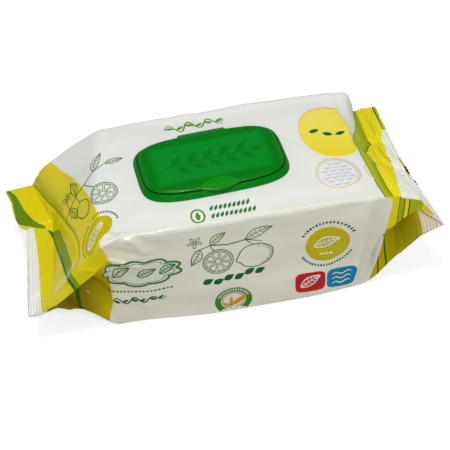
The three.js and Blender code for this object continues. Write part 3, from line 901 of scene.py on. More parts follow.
# Painted shade in the tucks: darker in the deep part, paler towards the foot.
DARK_TUCK_SHADE = srgb(172, 163, 0)
PALE_TUCK_SHADE = srgb(178, 163, 2)
# Painted light and shade of the lower layer's ribs.
LAYER_RIB_LIT = srgb(240, 232, 205)
LAYER_RIB_SHADE = srgb(222, 202, 158)
EYE_MARK = srgb(30, 30, 26)
TEETH_BLUE = srgb(78, 108, 128)
print("white film in linear light:", np.round(WHITE_FILM[:3], 2))

# %% [markdown]
# Both ends are yellow, with olive painted shade where the film turns away from the light, along its folds and
# in the tucks that are folded under.
# On the left a leaf shape and a stripe cross the end, on the right narrow lines run round it in bands.

# %% Inks at the two ends
LEAF_PART_G, LEAF_LINE_END_G, PINCH_LINE_END_G = 13.6, 28, 19
# Painted shade in the left tuck: darker olive the deeper in it lies.
LEFT_SHADED_TUCK_BANDS = [(-128, srgb(132, 114, 0)), (-112, srgb(150, 132, 0)), (-92, srgb(196, 176, 0))]
RIGHT_SLOPE_SHADE_BANDS = [(-14, SPRING_GREEN), (-6, SPRING_GREEN), (-1, CREASE_SHADE_OLIVE), (0, CREASE_SHADE_OLIVE)]
FACET_BANDS = [
    (90, FACET_YELLOW), (99.4, LINE_GREEN), (100.1, FACET_OLIVE), (103.7, LINE_GREEN), (104.4, PALE_YELLOW),
    (107.0, LINE_GREEN), (107.7, FACET_OLIVE), (116, FACET_YELLOW), (130, FACET_YELLOW),
]
# Printed green lines over painted shade in the right tuck.
SHADED_TUCK_BANDS = [
    (90, PALE_TUCK_SHADE), (96.9, LINE_GREEN), (97.7, PALE_TUCK_SHADE), (100.4, LINE_GREEN), (101.2, DARK_TUCK_SHADE),
    (108, TUCK_SHADE_OLIVE), (113.2, PALE_TUCK_SHADE), (130, PALE_TUCK_SHADE),
]


def left_inks(w, s, g, on_front, in_tuck):
    """Left end: pale yellow up to a darker band, painted shade along the fold, bright yellow outside it."""
    fold = w.number("past_left_fold")
    slope = w.blend(w.past(w.number("past_left_band")), PALE_YELLOW, BAND_YELLOW)
    # Painted shade along the left fold: an olive band inside it and a dark line on it.
    slope = w.blend(w.above(fold, limit=-2.2, soft=2.4), slope, FOLD_SHADE_OLIVE)
    colour = w.blend(w.past(fold), slope, BRIGHT_YELLOW)
    colour = w.blend(w.stripe(fold, middle=-0.2, half_width=0.3), colour, CREASE_SHADE_OLIVE)
    colour = w.blend(on_front, colour, FACET_YELLOW)
    # Painted shade: the left tuck turns olive.
    colour = w.blend(in_tuck, colour, w.ramp(s, LEFT_SHADED_TUCK_BANDS))
    start, end = w.number("past_stripe_start"), w.number("past_stripe_end")
    near_part = w.both(w.past(w.number("below_stripe_top")), w.without(in_tuck))
    colour = w.blend(w.both(w.past(start), w.without(w.past(end)), near_part), colour, STRIPE_GREEN)
    stripe_line = w.stripe(start, middle=0.6, half_width=0.9)
    colour = w.blend(w.both(stripe_line, near_part), colour, LINE_GREEN)
    tuck_line = w.stripe(start, middle=1.9, half_width=1.9)
    colour = w.blend(w.both(tuck_line, in_tuck), colour, LINE_GREEN)
    leaf_start, leaf_end = w.number("past_leaf_start"), w.number("past_leaf_end")
    far_part = w.above(g, LEAF_PART_G)
    colour = w.blend(w.both(w.past(leaf_start), w.without(w.past(leaf_end)), far_part), colour, LEAF_GREEN)
    leaf_line = w.stripe(leaf_start, middle=0, half_width=0.5)
    return w.blend(w.both(leaf_line, far_part, w.below(g, LEAF_LINE_END_G)), colour, LINE_GREEN)


def right_inks(w, s, g, right, on_front, in_tuck):
    """Right end: green on the slope with painted shade towards the pinches, then bright yellow on the
    cushions.
    """
    rib_start = w.number("past_rib_start")
    # Painted shade: the slope's green darkens to olive just before the pinches.
    green = w.ramp(rib_start, RIGHT_SLOPE_SHADE_BANDS)
    green = w.blend(w.stripe(right, middle=0.2, half_width=0.3), green, LINE_GREEN)
    colour = w.blend(w.past(rib_start), green, RIB_YELLOW)
    pinch_line = w.stripe(rib_start, middle=-0.7, half_width=0.35)
    colour = w.blend(w.both(pinch_line, w.below(g, PINCH_LINE_END_G)), colour, LINE_GREEN)
    colour = w.blend(on_front, colour, w.ramp(s, FACET_BANDS, constant=True))
    # Painted shade in the right tuck, with the printed lines running through it.
    return w.blend(in_tuck, colour, w.ramp(s, SHADED_TUCK_BANDS, constant=True))


print("bands on the right end's facet and tuck:", len(FACET_BANDS), len(SHADED_TUCK_BANDS))

# %% [markdown]
# Printed film is satin: the ink lies under a clear layer, so a thin coat adds the sharp glints on creases,
# while the base stays softer. The coat is strongest where the film is pulled tight.
# Fine wrinkles too small for the mesh come from a bump.

# %% Printed film
FILM_COAT, TIGHT_COAT, FILM_COAT_ROUGHNESS, FILM_SPECULAR = 0.08, 0.9, 0.08, 0.05
FILM_ROUGHNESS, GRAIN_SCALE = (0.42, 0.55), 90
WRINKLE_SCALE, WRINKLE_DETAIL, WRINKLE_STRENGTH, WRINKLE_DEPTH = 160, 4.0, 0.12, 0.0006
TUCK_G, TUCK_SOFTNESS = -81, 1.5
FRONT_LEAD, FRONT_SOFTNESS, FRONT_BOUNCE = 0.5, 14.0, 0.6
FAR_TIP_G, FAR_TIP_S, RIGHT_CUT_S, LEFT_CUT_S, TEETH_PITCH = 29.5, 130.1, 129.9, -159.4, 2.4
BOUNCE_SHARES = [(-90, srgb(255, 255, 255)), (-40, srgb(190, 190, 190)), (90, srgb(210, 210, 210))]


def bare_film(w, s, in_tuck):
    """Bare film along the cut edges; where the lower layer shows at the right, its ribs are painted stripes
    of light and shade.
    """
    # Painted light and shade: stripes at the ribs' pitch stand in for their lit and shaded sides.
    ribs = w.spread(w.waves(s, WIDE_RIB_PITCH), 0.0, 1.0)
    layer = w.blend(ribs, LAYER_RIB_LIT, LAYER_RIB_SHADE)
    return w.blend(w.both(in_tuck, w.past(s)), BARE_FILM, layer)


def cut_edge_marks(w, s, g, colour):
    """Marks that the printer leaves along the two cut edges, for the machine that folds the film."""
    far_tip, right_cut = w.above(g, FAR_TIP_G), w.above(s, RIGHT_CUT_S)
    colour = w.blend(w.both(w.above(s, FAR_TIP_S), far_tip), colour, BAND_YELLOW)
    tip_line = w.stripe(s, middle=FAR_TIP_S, half_width=0.4)
    colour = w.blend(w.both(tip_line, far_tip), colour, LINE_GREEN)
    yellow_mark = w.stripe(g, middle=-3.5, half_width=3.5)
    colour = w.blend(w.both(right_cut, yellow_mark), colour, BAND_YELLOW)
    black_mark = w.stripe(g, middle=-14.7, half_width=7.8)
    colour = w.blend(w.both(right_cut, black_mark), colour, EYE_MARK)
    teeth = w.past(w.waves(g, TEETH_PITCH), soft=0.3)
    toothed_part = w.stripe(g, middle=-30, half_width=19.0)
    left_cut = w.below(s, LEFT_CUT_S, soft=0.2)
    return w.blend(w.both(left_cut, toothed_part, teeth), colour, TEETH_BLUE)


def satin_finish(w, roughness):
    """Uneven roughness between two levels, weak reflections under a clear coat, and fine wrinkles."""
    w.join(w.spread(w.noise(GRAIN_SCALE), *roughness), w.shader.inputs["Roughness"])
    w.shader.inputs["Specular IOR Level"].default_value = FILM_SPECULAR
    w.shader.inputs["Coat Roughness"].default_value = FILM_COAT_ROUGHNESS
    w.bump(w.noise(WRINKLE_SCALE, WRINKLE_DETAIL), WRINKLE_STRENGTH, WRINKLE_DEPTH)


def film_material():
    """White with painted warm bounce light down the front, then the inks of both ends, the bare margins and
    the edges' marks.
    """
    w = Wires("printed_film")
    s, g = w.number("web_s"), w.number("web_g")
    left, right = w.number("past_left_print"), w.number("past_right_print")
    on_front = w.below(g, -HALF_WIDTH - FRONT_LEAD)
    in_tuck = w.below(g, TUCK_G, TUCK_SOFTNESS)
    # Painted warm bounce light: the white turns cream down the front panel, most towards its left end.
    low = w.spread(w.below(g, -HALF_WIDTH, FRONT_SOFTNESS), 0.0, FRONT_BOUNCE)
    white = w.blend(w.math("MULTIPLY", low, w.ramp(s, BOUNCE_SHARES)), WHITE_FILM, BOUNCE_CREAM_FILM)
    colour = w.blend(w.past(left), white, left_inks(w, s, g, on_front, in_tuck))
    colour = w.blend(w.past(right), colour, right_inks(w, s, g, right, on_front, in_tuck))
    bare = w.math("MAXIMUM", w.past(w.number("past_left_bare")), w.past(w.number("past_right_bare")))
    colour = w.blend(bare, colour, bare_film(w, s, in_tuck))
    w.join(cut_edge_marks(w, s, g, colour), w.shader.inputs["Base Color"])
    w.join(w.spread(w.number("tight"), FILM_COAT, TIGHT_COAT), w.shader.inputs["Coat Weight"])
    satin_finish(w, FILM_ROUGHNESS)
    return w.material


film.data.materials.append(film_material())
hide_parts("film_pack")
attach(film, "pack")
print("film material:", len(film.data.materials[0].node_tree.nodes), "nodes")

# %% [markdown]
# The dispenser is injection moulded in one colour of polypropylene: a shallow tray that is glued to the
# film, and a cover on a living hinge. It could be cut from blocks, but moulded parts are made of walls
# with rounded rims, so each is a stack of outlines, joined ring to ring.
# The outline is a superellipse: a rectangle with full, soft corners.

# %% Outlines of the dispenser
DISPENSER_PLACE = np.array([-8.1, -1.7, 83.5])
DISPENSER_TURN = np.radians(2.7)
BASE_HALF = np.array([50.0, 29.5])
BASE_HEIGHT, BASE_FLOOR, BACK_RIM_DROP = 3.6, 1.2, 1.0
WALL_LEAN, RIM_WIDTH, COVER_GAP, COLLAR_WALL = 1.9, 0.7, 0.7, 1.2
RIM_OUTER = BASE_HALF - WALL_LEAN
RIM_INNER = RIM_OUTER - RIM_WIDTH
COVER_HALF = RIM_INNER - COVER_GAP
WINDOW_HALF = np.array([31.0, 13.5])
COLLAR_HALF = WINDOW_HALF + COLLAR_WALL
COVER_TOP, COVER_UNDER, TAB_UNDER, COLLAR_TOP = 5.3, 4.1, 3.7, 2.9
COVER_SHIFT_BACK = 0.4
TAB_WIDTH, TAB_REACH = 27.0, 3.6
HINGE_WIDTH, HINGE_LEAF_OUT = 34.0, 0.9
OUTLINE_STEPS, OUTLINE_SAMPLES = 288, 4001
OUTLINE_POWER = (3.7, 4.5)
CORNER_STEPS, CORNER_REACH, SHORTEST = 5, 0.45, 1e-6


def outline(half, height=0.0, shift=0.0):
    """Superellipse |x/a|^p + |y/b|^q = 1 at one height, with its points evenly spaced along its length."""
    angle = np.linspace(0, 2 * np.pi, OUTLINE_SAMPLES) - np.pi / 2
    cosine, sine = np.cos(angle), np.sin(angle)
    x = half[0] * np.sign(cosine) * abs(cosine) ** (2 / OUTLINE_POWER[0])
    y = half[1] * np.sign(sine) * abs(sine) ** (2 / OUTLINE_POWER[1])
    length = np.concatenate([[0], np.cumsum(np.hypot(np.diff(x), np.diff(y)))])
    wanted = np.linspace(0, length[-1], OUTLINE_STEPS, endpoint=False)
    even_x, even_y = np.interp(wanted, length, x), np.interp(wanted, length, y)
    return np.stack([even_x, even_y + shift, np.full(OUTLINE_STEPS, height)], -1)


def soft_corners(rings, radii, looped):
    """Rounds the profile at each ring: a quadratic curve between points one radius before and after it."""
    out = []
    count = len(rings)
    for i, (ring, radius) in enumerate(zip(rings, radii)):
        at_end = not looped and i in (0, count - 1)
        if at_end or radius == 0:
            out.append(ring)
            continue
        ends = []
        for other in (rings[i - 1], rings[(i + 1) % count]):
            gap = np.linalg.norm(other - ring, axis=1, keepdims=True)
            ends.append(ring + (other - ring) * np.minimum(CORNER_REACH, radius / np.maximum(gap, SHORTEST)))
        for t in np.linspace(0, 1, CORNER_STEPS):
            out.append(ends[0] * (1 - t) ** 2 + 2 * ring * t * (1 - t) + ends[1] * t**2)
    return np.array(out)


def dispenser_axes():
    """Rotation matrix about the vertical by the dispenser's turn."""
    cosine, sine = np.cos(DISPENSER_TURN), np.sin(DISPENSER_TURN)
    return np.array([[cosine, -sine, 0], [sine, cosine, 0], [0, 0, 1]])


def to_pack(points):
    """From the dispenser's own frame to the pack's: turned about the vertical and moved to its place."""
    return np.asarray(points) @ dispenser_axes().T + DISPENSER_PLACE


def from_pack(points):
    """From the pack's frame to the dispenser's own."""
    return (np.asarray(points) - DISPENSER_PLACE) @ dispenser_axes()


def ring_piece(name, rings, looped=False):
    """Piece from stacked rings; the last joins the first, or both ends close on their middle points."""
    rows, columns = rings.shape[:2]
    faces = grid_faces(rows, columns).tolist()
    points = rings.reshape(-1, 3)
    i = np.arange(columns)
    after = (i + 1) % columns
    last = (rows - 1) * columns
    if looped:
        faces += np.stack([last + i, last + after, after, i], -1).tolist()
    else:
        points = np.concatenate([points, rings[:1].mean(1), rings[-1:].mean(1)])
        first_middle, last_middle = (np.full(columns, rows * columns + k) for k in (0, 1))
        faces += np.stack([first_middle, after, i], -1).tolist()
        faces += np.stack([last_middle, last + i, last + after], -1).tolist()
    return mesh_piece(name, to_pack(points), faces)


print("base", (2 * BASE_HALF).tolist(), "cover", (2 * COVER_HALF).round(1).tolist(), "mm")

# %% [markdown]
# The base is a ring-shaped tray: an outer wall that leans in, a narrow rim, a floor, and a collar round
# the window through which the wipes are pulled. The rim is lower at the back and under the thumb tab, and
# it has a tongue that carries the hinge.

# %% Dispenser base
TONGUE_GAP, TONGUE_FADE = 0.5, 2.0
TAB_GAP, TAB_FADE = 0.6, 2.0


def rim_height(ring):
    """Height of the rim: full at front and sides, stepped down at the back and under the thumb tab."""
    x, y = ring[:, 0], ring[:, 1]
    to_back = smooth_share((y - BASE_HALF[1] / 2) / (COVER_HALF[1] - BASE_HALF[1] / 2))
    plain = BASE_HEIGHT - BACK_RIM_DROP * to_back
    tongue = 1 - smooth_share((abs(x) - HINGE_WIDTH / 2 + TONGUE_FADE) / TONGUE_FADE)
    under_tab = 1 - smooth_share((abs(x) - TAB_WIDTH / 2) / TAB_FADE)
    back = plain + (TAB_UNDER - TONGUE_GAP - plain) * tongue
    front = plain + (np.minimum(plain, TAB_UNDER - TAB_GAP) - plain) * under_tab
    return np.where(y > 0, back, front)


def rim(half):
    """Outline at the rim's own varying height."""
    ring = outline(half, 0, COVER_SHIFT_BACK)
    ring[:, 2] = rim_height(ring)
    return ring


base_profile = [
    (outline(BASE_HALF), 0.15), (rim(RIM_OUTER), 0.32), (rim(RIM_INNER), 0.25),
    (outline(RIM_INNER, BASE_FLOOR, COVER_SHIFT_BACK), 0.5), (outline(COLLAR_HALF, BASE_FLOOR), 0.5),
    (outline(COLLAR_HALF, COLLAR_TOP), 0.35), (outline(WINDOW_HALF, COLLAR_TOP), 0.35),
    (outline(WINDOW_HALF), 0.15),
]
lid_base = ring_piece("dispenser_base", soft_corners(*zip(*base_profile), looped=True), looped=True)
print("dispenser base:", len(lid_base.data.polygons), "faces")

# %% [markdown]
# The cover's panel holds a plain leaf sprig, raised a sixth of a millimetre. It could be cut as a mesh of
# its own, but a mould is etched in one with the panel. So the sprig is a function of the place on the
# cover, which tells how far inside it a point lies, and which both the shape and the material read.

# %% Leaf sprig
SPRIG_SHIFT = 3.0
STEM_BOW, STEM_WAVE, STEM_REACH, STEM_HALF_WIDTH = 2.0, 30.0, 29.0, 0.55
LEAF_STARTS = (-25, -14, -3, 8, 19)
LEAF_PAIR = (((5.2, 4.8), 0.75, 11.5, 4.4), ((8.6, -4.6), -0.7, 10.5, 4.2))
TIP_LEAF = ((34.5, 1.6), 0.1, 13, 4.6)
OUTSIDE = -9.0


def leaf_distance(x, y, place, turn, length, width):
    """Millimetres inside a pointed leaf, the overlap of two equal circles; negative outside it."""
    cosine, sine = np.cos(turn), np.sin(turn)
    along = (x - place[0]) * cosine + (y - place[1]) * sine
    across = (y - place[1]) * cosine - (x - place[0]) * sine
    radius = (length**2 + width**2) / (4 * width)
    offset = radius - width / 2
    return radius - np.hypot(along, abs(across) + offset)


def stem_height(x):
    """The stem is a slow sine wave along the cover."""
    return STEM_BOW * np.sin(x / STEM_WAVE)


def sprig_distance(x, y):
    """Millimetres inside the sprig: a bowed stem with leaves in pairs and one at its tip."""
    x = x + SPRIG_SHIFT
    parts = [np.where(abs(x) < STEM_REACH, STEM_HALF_WIDTH - abs(y - stem_height(x)), OUTSIDE)]
    parts.append(leaf_distance(x, y, *TIP_LEAF))
    for start in LEAF_STARTS:
        stem_y = stem_height(start + SPRIG_SHIFT)
        for (out, up), turn, length, width in LEAF_PAIR:
            parts.append(leaf_distance(x, y, (start + out, stem_y + up), turn, length, width))
    return np.max(parts, axis=0)


print("sprig: stem", 2 * STEM_REACH, "mm, leaves", 2 * len(LEAF_STARTS) + 1)

# %% [markdown]
# A thumb lifts the cover by a tab that bulges out at the front, under a shallow scoop that guides it there.
# At the back a straight leaf runs out to the hinge. All three are changes to the cover's rings of points.

# %% Thumb tab, scoop and hinge leaf
SCOOP_BACK, SCOOP_LEAD, SCOOP_MARGIN, SCOOP_DEPTH = 8.0, 0.6, 0.5, 0.85


def push_edge(ring):
    """The cover's plate pushed out by a parabola at the thumb tab and by a step at the hinge leaf."""
    ring = ring.copy()
    x, y = ring[:, 0], ring[:, 1]
    beside = np.clip(abs(x) / (TAB_WIDTH / 2), 0, 1)
    leaf = 1 - smooth_share(abs(x) - HINGE_WIDTH / 2 + 1)
    ring[:, 1] += np.where(y < 0, -TAB_REACH * (1 - beside**2), HINGE_LEAF_OUT * leaf)
    return ring


def scoop_share(x, y):
    """1 in the middle of the thumb scoop, 0 on its elliptic border and below 0 outside it."""
    across = x / (TAB_WIDTH / 2 - SCOOP_MARGIN)
    deep = (y - COVER_SHIFT_BACK + COVER_HALF[1] + SCOOP_LEAD) / SCOOP_BACK
    return 1 - across**2 - deep**2


def scooped(ring):
    """The ring lowered where it crosses the scoop, which is half an ellipsoid deep."""
    ring = ring.copy()
    ring[:, 2] -= SCOOP_DEPTH * np.clip(scoop_share(ring[:, 0], ring[:, 1]), 0, 1) ** 0.5
    return ring


print("thumb tab", TAB_WIDTH, "mm wide, scoop", SCOOP_DEPTH, "mm deep")

# %% [markdown]
# The cover is a thin dish turned over: a rounded edge all round, a nearly flat top with a slightly sunk
# panel, a thumb tab with a shallow scoop at the front, and a hinge leaf at the back.
# Its underside has a skirt, and a rib that closes on the base's collar to keep the wipes moist.
# As with the base, rings of points are stacked into one closed surface, here from the underside's middle
# out to the edge and back over the top.

# %% Cover
EDGE_RADIUS = 1.6
EDGE_TURNS = np.radians(np.arange(6, 91, 7))
TOP_INSETS = np.concatenate([np.arange(2.2, 25, 0.62), [25.3, 25.8, 26.2]])
EDGE_PUSH_RUN = 7.0
PANEL_INSET, PANEL_STEP, PANEL_DEPTH = 8.6, 2.6, 0.35
SEAL_RIB_INSIDE, SEAL_RIB_OUTSIDE = 0.4, 1.4
SKIRT_INSIDE, SKIRT_OUTSIDE, SKIRT_CLEARANCE, SKIRT_STEP = 1.8, 0.8, 0.4, 0.15
LEAF_RAISE, LEAF_EDGE = 0.16, 0.5
RIM_POLISH_INSET, RIM_POLISH_FADE = 3.2, 1.5


def cover_inset(by, height):
    """The cover's outline drawn in by a distance."""
    return outline(COVER_HALF - by, height, COVER_SHIFT_BACK)


def underside_rings():
    """From the middle out: seal rib, skirt and the lip under the edge, each ring with its corner's radius."""
    bottom = BASE_FLOOR + SKIRT_CLEARANCE
    rib_inside, rib_outside = COLLAR_HALF + SEAL_RIB_INSIDE, COLLAR_HALF + SEAL_RIB_OUTSIDE
    profile = [
        (outline(COLLAR_HALF - COLLAR_HALF[1] / 2, COVER_UNDER), 0), (outline(rib_inside, COVER_UNDER), 0.3),
        (outline(rib_inside, bottom), 0.25), (outline(rib_outside, bottom), 0.25),
        (outline(rib_outside, COVER_UNDER), 0.3), (cover_inset(SKIRT_INSIDE, COVER_UNDER), 0.3),
        (cover_inset(SKIRT_INSIDE, bottom), 0.2), (cover_inset(SKIRT_OUTSIDE, bottom), 0.2),
        (cover_inset(SKIRT_OUTSIDE, TAB_UNDER - SKIRT_STEP), 0.1), (push_edge(cover_inset(0, TAB_UNDER)), 0),
    ]
    return list(soft_corners(*zip(*profile), looped=False))


def topside_rings():
    """A quarter circle up round the edge, then insets over the top, which steps down to the panel."""
    rings = []
    for turn in EDGE_TURNS:
        by, up = EDGE_RADIUS * (1 - np.cos(turn)), EDGE_RADIUS * np.sin(turn)
        rings.append(scooped(push_edge(cover_inset(by, TAB_UNDER + up))))
    edge = cover_inset(EDGE_RADIUS, COVER_TOP)
    edge_push = push_edge(edge) - edge
    for by in TOP_INSETS:
        in_panel = smooth_share((by - PANEL_INSET) / PANEL_STEP)
        fade = np.clip(1 - (by - EDGE_RADIUS) / EDGE_PUSH_RUN, 0, 1)
        ring = cover_inset(by, COVER_TOP - PANEL_DEPTH * in_panel)
        inside = sprig_distance(ring[:, 0], ring[:, 1])
        ring[:, 2] += LEAF_RAISE * smooth_share(inside / LEAF_EDGE + 0.5) * in_panel
        rings.append(scooped(ring + edge_push * fade))
    return rings


lid_cover = ring_piece("dispenser_cover", np.array(underside_rings() + topside_rings()))
cover_x, cover_y, cover_z = from_pack(np.array([v.co for v in lid_cover.data.vertices]) / MM).T
on_top = cover_z > COVER_UNDER + 0.1
edge_inset = np.minimum(COVER_HALF[0] - abs(cover_x), COVER_HALF[1] - abs(cover_y - COVER_SHIFT_BACK))
store_number(lid_cover, "panel", np.where(on_top, edge_inset - PANEL_INSET, OUTSIDE))
store_number(lid_cover, "sprig", np.where(on_top, sprig_distance(cover_x, cover_y), OUTSIDE))
store_number(lid_cover, "scoop", np.where(on_top, scoop_share(cover_x, cover_y) * SCOOP_BACK / 2, OUTSIDE))
store_number(lid_cover, "polish", smooth_share((RIM_POLISH_INSET - edge_inset) / RIM_POLISH_FADE) * on_top)
print("dispenser cover:", len(lid_cover.data.polygons), "faces")

# %% [markdown]
# The hinge is a web of the same plastic, less than half a millimetre thick, that loops round the line
# about which the cover turns. It is a strip whose section is an arc round that line.

# %% Living hinge
HINGE_LINE = (28.5, 3.4)
WEB_RADIUS, WEB_THICKNESS = 0.75, 0.35
WEB_TURN = np.radians(np.linspace(-112, 112, 17))
WEB_IN_RIM, WEB_IN_LEAF = 27.7, 27.4
WEB_MARGIN, WEB_SECTIONS = 1.2, 25


def hinge_web():
    """Closed strip: an arc section of two radii, its ends run on into rim and leaf, carried along x."""
    section = []
    for radius in (WEB_RADIUS, WEB_RADIUS - WEB_THICKNESS):
        arc_y = HINGE_LINE[0] + radius * np.cos(WEB_TURN)
        arc_z = HINGE_LINE[1] + radius * np.sin(WEB_TURN)
        y, z = [WEB_IN_RIM, *arc_y, WEB_IN_LEAF], [arc_z[0], *arc_z, arc_z[-1]]
        section.append(np.stack([y, z], -1))
    closed = np.concatenate([section[0], section[1][::-1]])
    reach = HINGE_WIDTH / 2 - WEB_MARGIN
    places = np.linspace(-reach, reach, WEB_SECTIONS)
    rings = np.stack([np.stack([np.full(len(closed), x), *closed.T], -1) for x in places])
    return ring_piece("hinge_web", rings)


web = hinge_web()
print("hinge web:", len(web.data.polygons), "faces")

# %% [markdown]
# Under the cover a peel-off label closes the opening cut in the film. It is flat film with a pull tab,
# whose edge lifts a little, as they do once the glue has set.

# %% Peel-off label
LABEL_THICKNESS, LABEL_GAP, LABEL_MARGIN = 0.28, 0.02, 1.0
LABEL_LIFT, LIFT_START, LIFT_RUN = 0.45, 22.0, 8.0
PULL_LENGTH, PULL_WIDTH_SHARE = 4.0, 0.6
SCALES_BELOW = (0.1, 0.4, 0.7, 0.9, 1)
SCALES_ABOVE = (1, 0.9, 0.8, 0.7, 0.5, 0.3, 0.1)


def label_rings():
    """Outline pushed out by a quartic bump as the pull tab, scaled inwards ring by ring, top and bottom."""
    half = WINDOW_HALF - LABEL_MARGIN - PULL_LENGTH
    edge = outline(np.array([half[0], half[1] + PULL_LENGTH]))
    share = np.clip(abs(edge[:, 1]) / (half[1] * PULL_WIDTH_SHARE), 0, 1)
    edge[:, 0] += np.where(edge[:, 0] > 0, PULL_LENGTH * (1 - share**4), 0)
    rings = []
    for scales, up in ((SCALES_BELOW, 0), (SCALES_ABOVE, LABEL_THICKNESS)):
        for scale in scales:
            ring = edge * [scale, scale, 0]
            ring[:, 2] = up + LABEL_GAP + LABEL_LIFT * smooth_share((ring[:, 0] - LIFT_START) / LIFT_RUN)
            rings.append(ring)
    return np.array(rings)


label = ring_piece("peel_label", label_rings())
print("peel-off label:", len(label.data.polygons), "faces")

# %% [markdown]
# The mould for the dispenser is polished at the cover's rim and finely eroded elsewhere, so the rim alone
# throws back a sharp glint. Both come from one material: the amount of its clear coat is read from a
# number kept on the points. The sprig is a slightly different green; the frame round the panel and the
# scoop's border get painted shade, and the scoop painted light.

# %% Green plastic and label film
MOULD_GREEN = srgb(0, 133, 34)
# Painted shade for the frame round the panel and the scoop's border; painted light for the scoop.
FRAME_SHADE_GREEN = srgb(0, 116, 16)
ETCHED_GREEN = srgb(0, 118, 22)
SCOOP_LIGHT_GREEN = srgb(8, 134, 14)
LABEL_WHITE, LABEL_GREY = srgb(236, 236, 232), srgb(228, 229, 226)
PLASTIC_COAT, RIM_COAT, PLASTIC_COAT_ROUGHNESS, PLASTIC_SPECULAR = 0.06, 0.5, 0.1, 0.05
PLASTIC_GRAIN, PLASTIC_DETAIL, PLASTIC_ROUGHNESS, ETCHED_ROUGHNESS = 700, 2.0, (0.28, 0.36), 0.2
PLASTIC_BUMP = {"strength": 0.05, "distance": 0.0002}
LABEL_CLOUDS, LABEL_GRAIN, LABEL_ROUGHNESS, LABEL_WRINKLES = 120, 400, (0.38, 0.5), 300
LABEL_BUMP = {"strength": 0.1, "distance": 0.0003}


def plastic_material():
    """Green with painted light in the scoop and painted shade on the panel's frame and the scoop's border;
    duller on the etched sprig.
    """
    w = Wires("green_plastic")
    grain = w.noise(PLASTIC_GRAIN, PLASTIC_DETAIL)
    # Painted shade on the frame round the panel, painted light in the scoop and a painted shade line on its
    # border.
    tone = w.blend(w.past(w.number("panel"), soft=2.4), FRAME_SHADE_GREEN, MOULD_GREEN)
    etched = w.past(w.number("sprig"), soft=0.25)
    scoop = w.number("scoop")
    tone = w.blend(w.past(scoop, soft=0.5), tone, SCOOP_LIGHT_GREEN)
    tone = w.blend(w.stripe(scoop, middle=0, half_width=0.2), tone, FRAME_SHADE_GREEN)
    w.join(w.blend(etched, tone, ETCHED_GREEN), w.shader.inputs["Base Color"])
    duller = w.math("MULTIPLY", etched, ETCHED_ROUGHNESS)
    roughness = w.math("ADD", w.spread(grain, *PLASTIC_ROUGHNESS), duller)
    w.join(roughness, w.shader.inputs["Roughness"])
    w.join(w.spread(w.number("polish"), PLASTIC_COAT, RIM_COAT), w.shader.inputs["Coat Weight"])
    w.shader.inputs["Specular IOR Level"].default_value = PLASTIC_SPECULAR
    w.shader.inputs["Coat Roughness"].default_value = PLASTIC_COAT_ROUGHNESS
    w.bump(grain, **PLASTIC_BUMP)
    return w.material


def label_material():
    """Matt white film, slightly cloudy."""
    w = Wires("label_film")
    w.join(w.blend(w.noise(LABEL_CLOUDS), LABEL_WHITE, LABEL_GREY), w.shader.inputs["Base Color"])
    w.join(w.spread(w.noise(LABEL_GRAIN), *LABEL_ROUGHNESS), w.shader.inputs["Roughness"])
    w.bump(w.noise(LABEL_WRINKLES), **LABEL_BUMP)
    return w.material


green_plastic = plastic_material()
for piece, body, node in ((lid_base, "pack", "lid_base"), (lid_cover, "cover", "lid_cover")):
    piece.data.materials.append(green_plastic)
    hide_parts(node)
    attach(piece, body)
web.data.materials.append(green_plastic)
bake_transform(web)
label.data.materials.append(label_material())
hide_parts("peel_seal")
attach(label, "pack")
print("pieces of the dispenser:", [piece.name for piece in (lid_base, lid_cover, web, label)])

# %% [markdown]
# The finer print is line art and small badges. An image texture could hold it, but here it is drawn as
# shapes of ink: ribbons along curves, and filled outlines, worked out on the flat web.
# Each is then laid on the folded film by looking its places up in the film's own grid, so that it follows
# every fold. It lies a tenth of a millimetre above the film, so that ink and film never share a surface.

# %% Laying ink on the film
film_normals = outward_normals(film_grid)
web_rows = along_web[:, 0]
web_columns = -round_web[0, :BACK_START]


def on_film(places, lift):
    """Places (s, g) on the web to points in the pack's frame, lifted along the film's normal."""
    row = np.interp(places[:, 0], web_rows, np.arange(len(web_rows)))
    column = np.interp(-places[:, 1], web_columns, np.arange(len(web_columns)))
    r = np.minimum(row.astype(int), len(web_rows) - 2)
    c = np.minimum(column.astype(int), COLUMNS - 2)
    u, v = (row - r)[:, None], (column - c)[:, None]
    out = []
    for grid in (film_grid, film_normals):
        near = grid[r, c] * (1 - v) + grid[r, c + 1] * v
        far = grid[r + 1, c] * (1 - v) + grid[r + 1, c + 1] * v
        out.append(near * (1 - u) + far * u)
    laid = out[0] + lift * out[1]
    laid[:, 2] = np.maximum(laid[:, 2], 0)
    return laid


print("web rows and columns for the ink:", len(web_rows), len(web_columns))

# %% [markdown]
# Two kinds of shape make all the print: a stroke along a path, and a patch inside an outline.
# Both are cut finely enough for the film's curves, as a long face would dive under a crease.

# %% Strokes and patches
PATH_STEP, BORDER_STEP, RING_STEP, HUB_SHARE = 0.9, 1.0, 1.2, 0.04


def even_steps(path, step):
    """A path's points again, evenly spaced along its length."""
    path = np.asarray(path, float)
    length = np.concatenate([[0], np.cumsum(np.hypot(*np.diff(path, axis=0).T))])
    wanted = np.linspace(0, length[-1], max(3, int(length[-1] / step) + 1))
    return np.stack([np.interp(wanted, length, path[:, i]) for i in (0, 1)], -1)


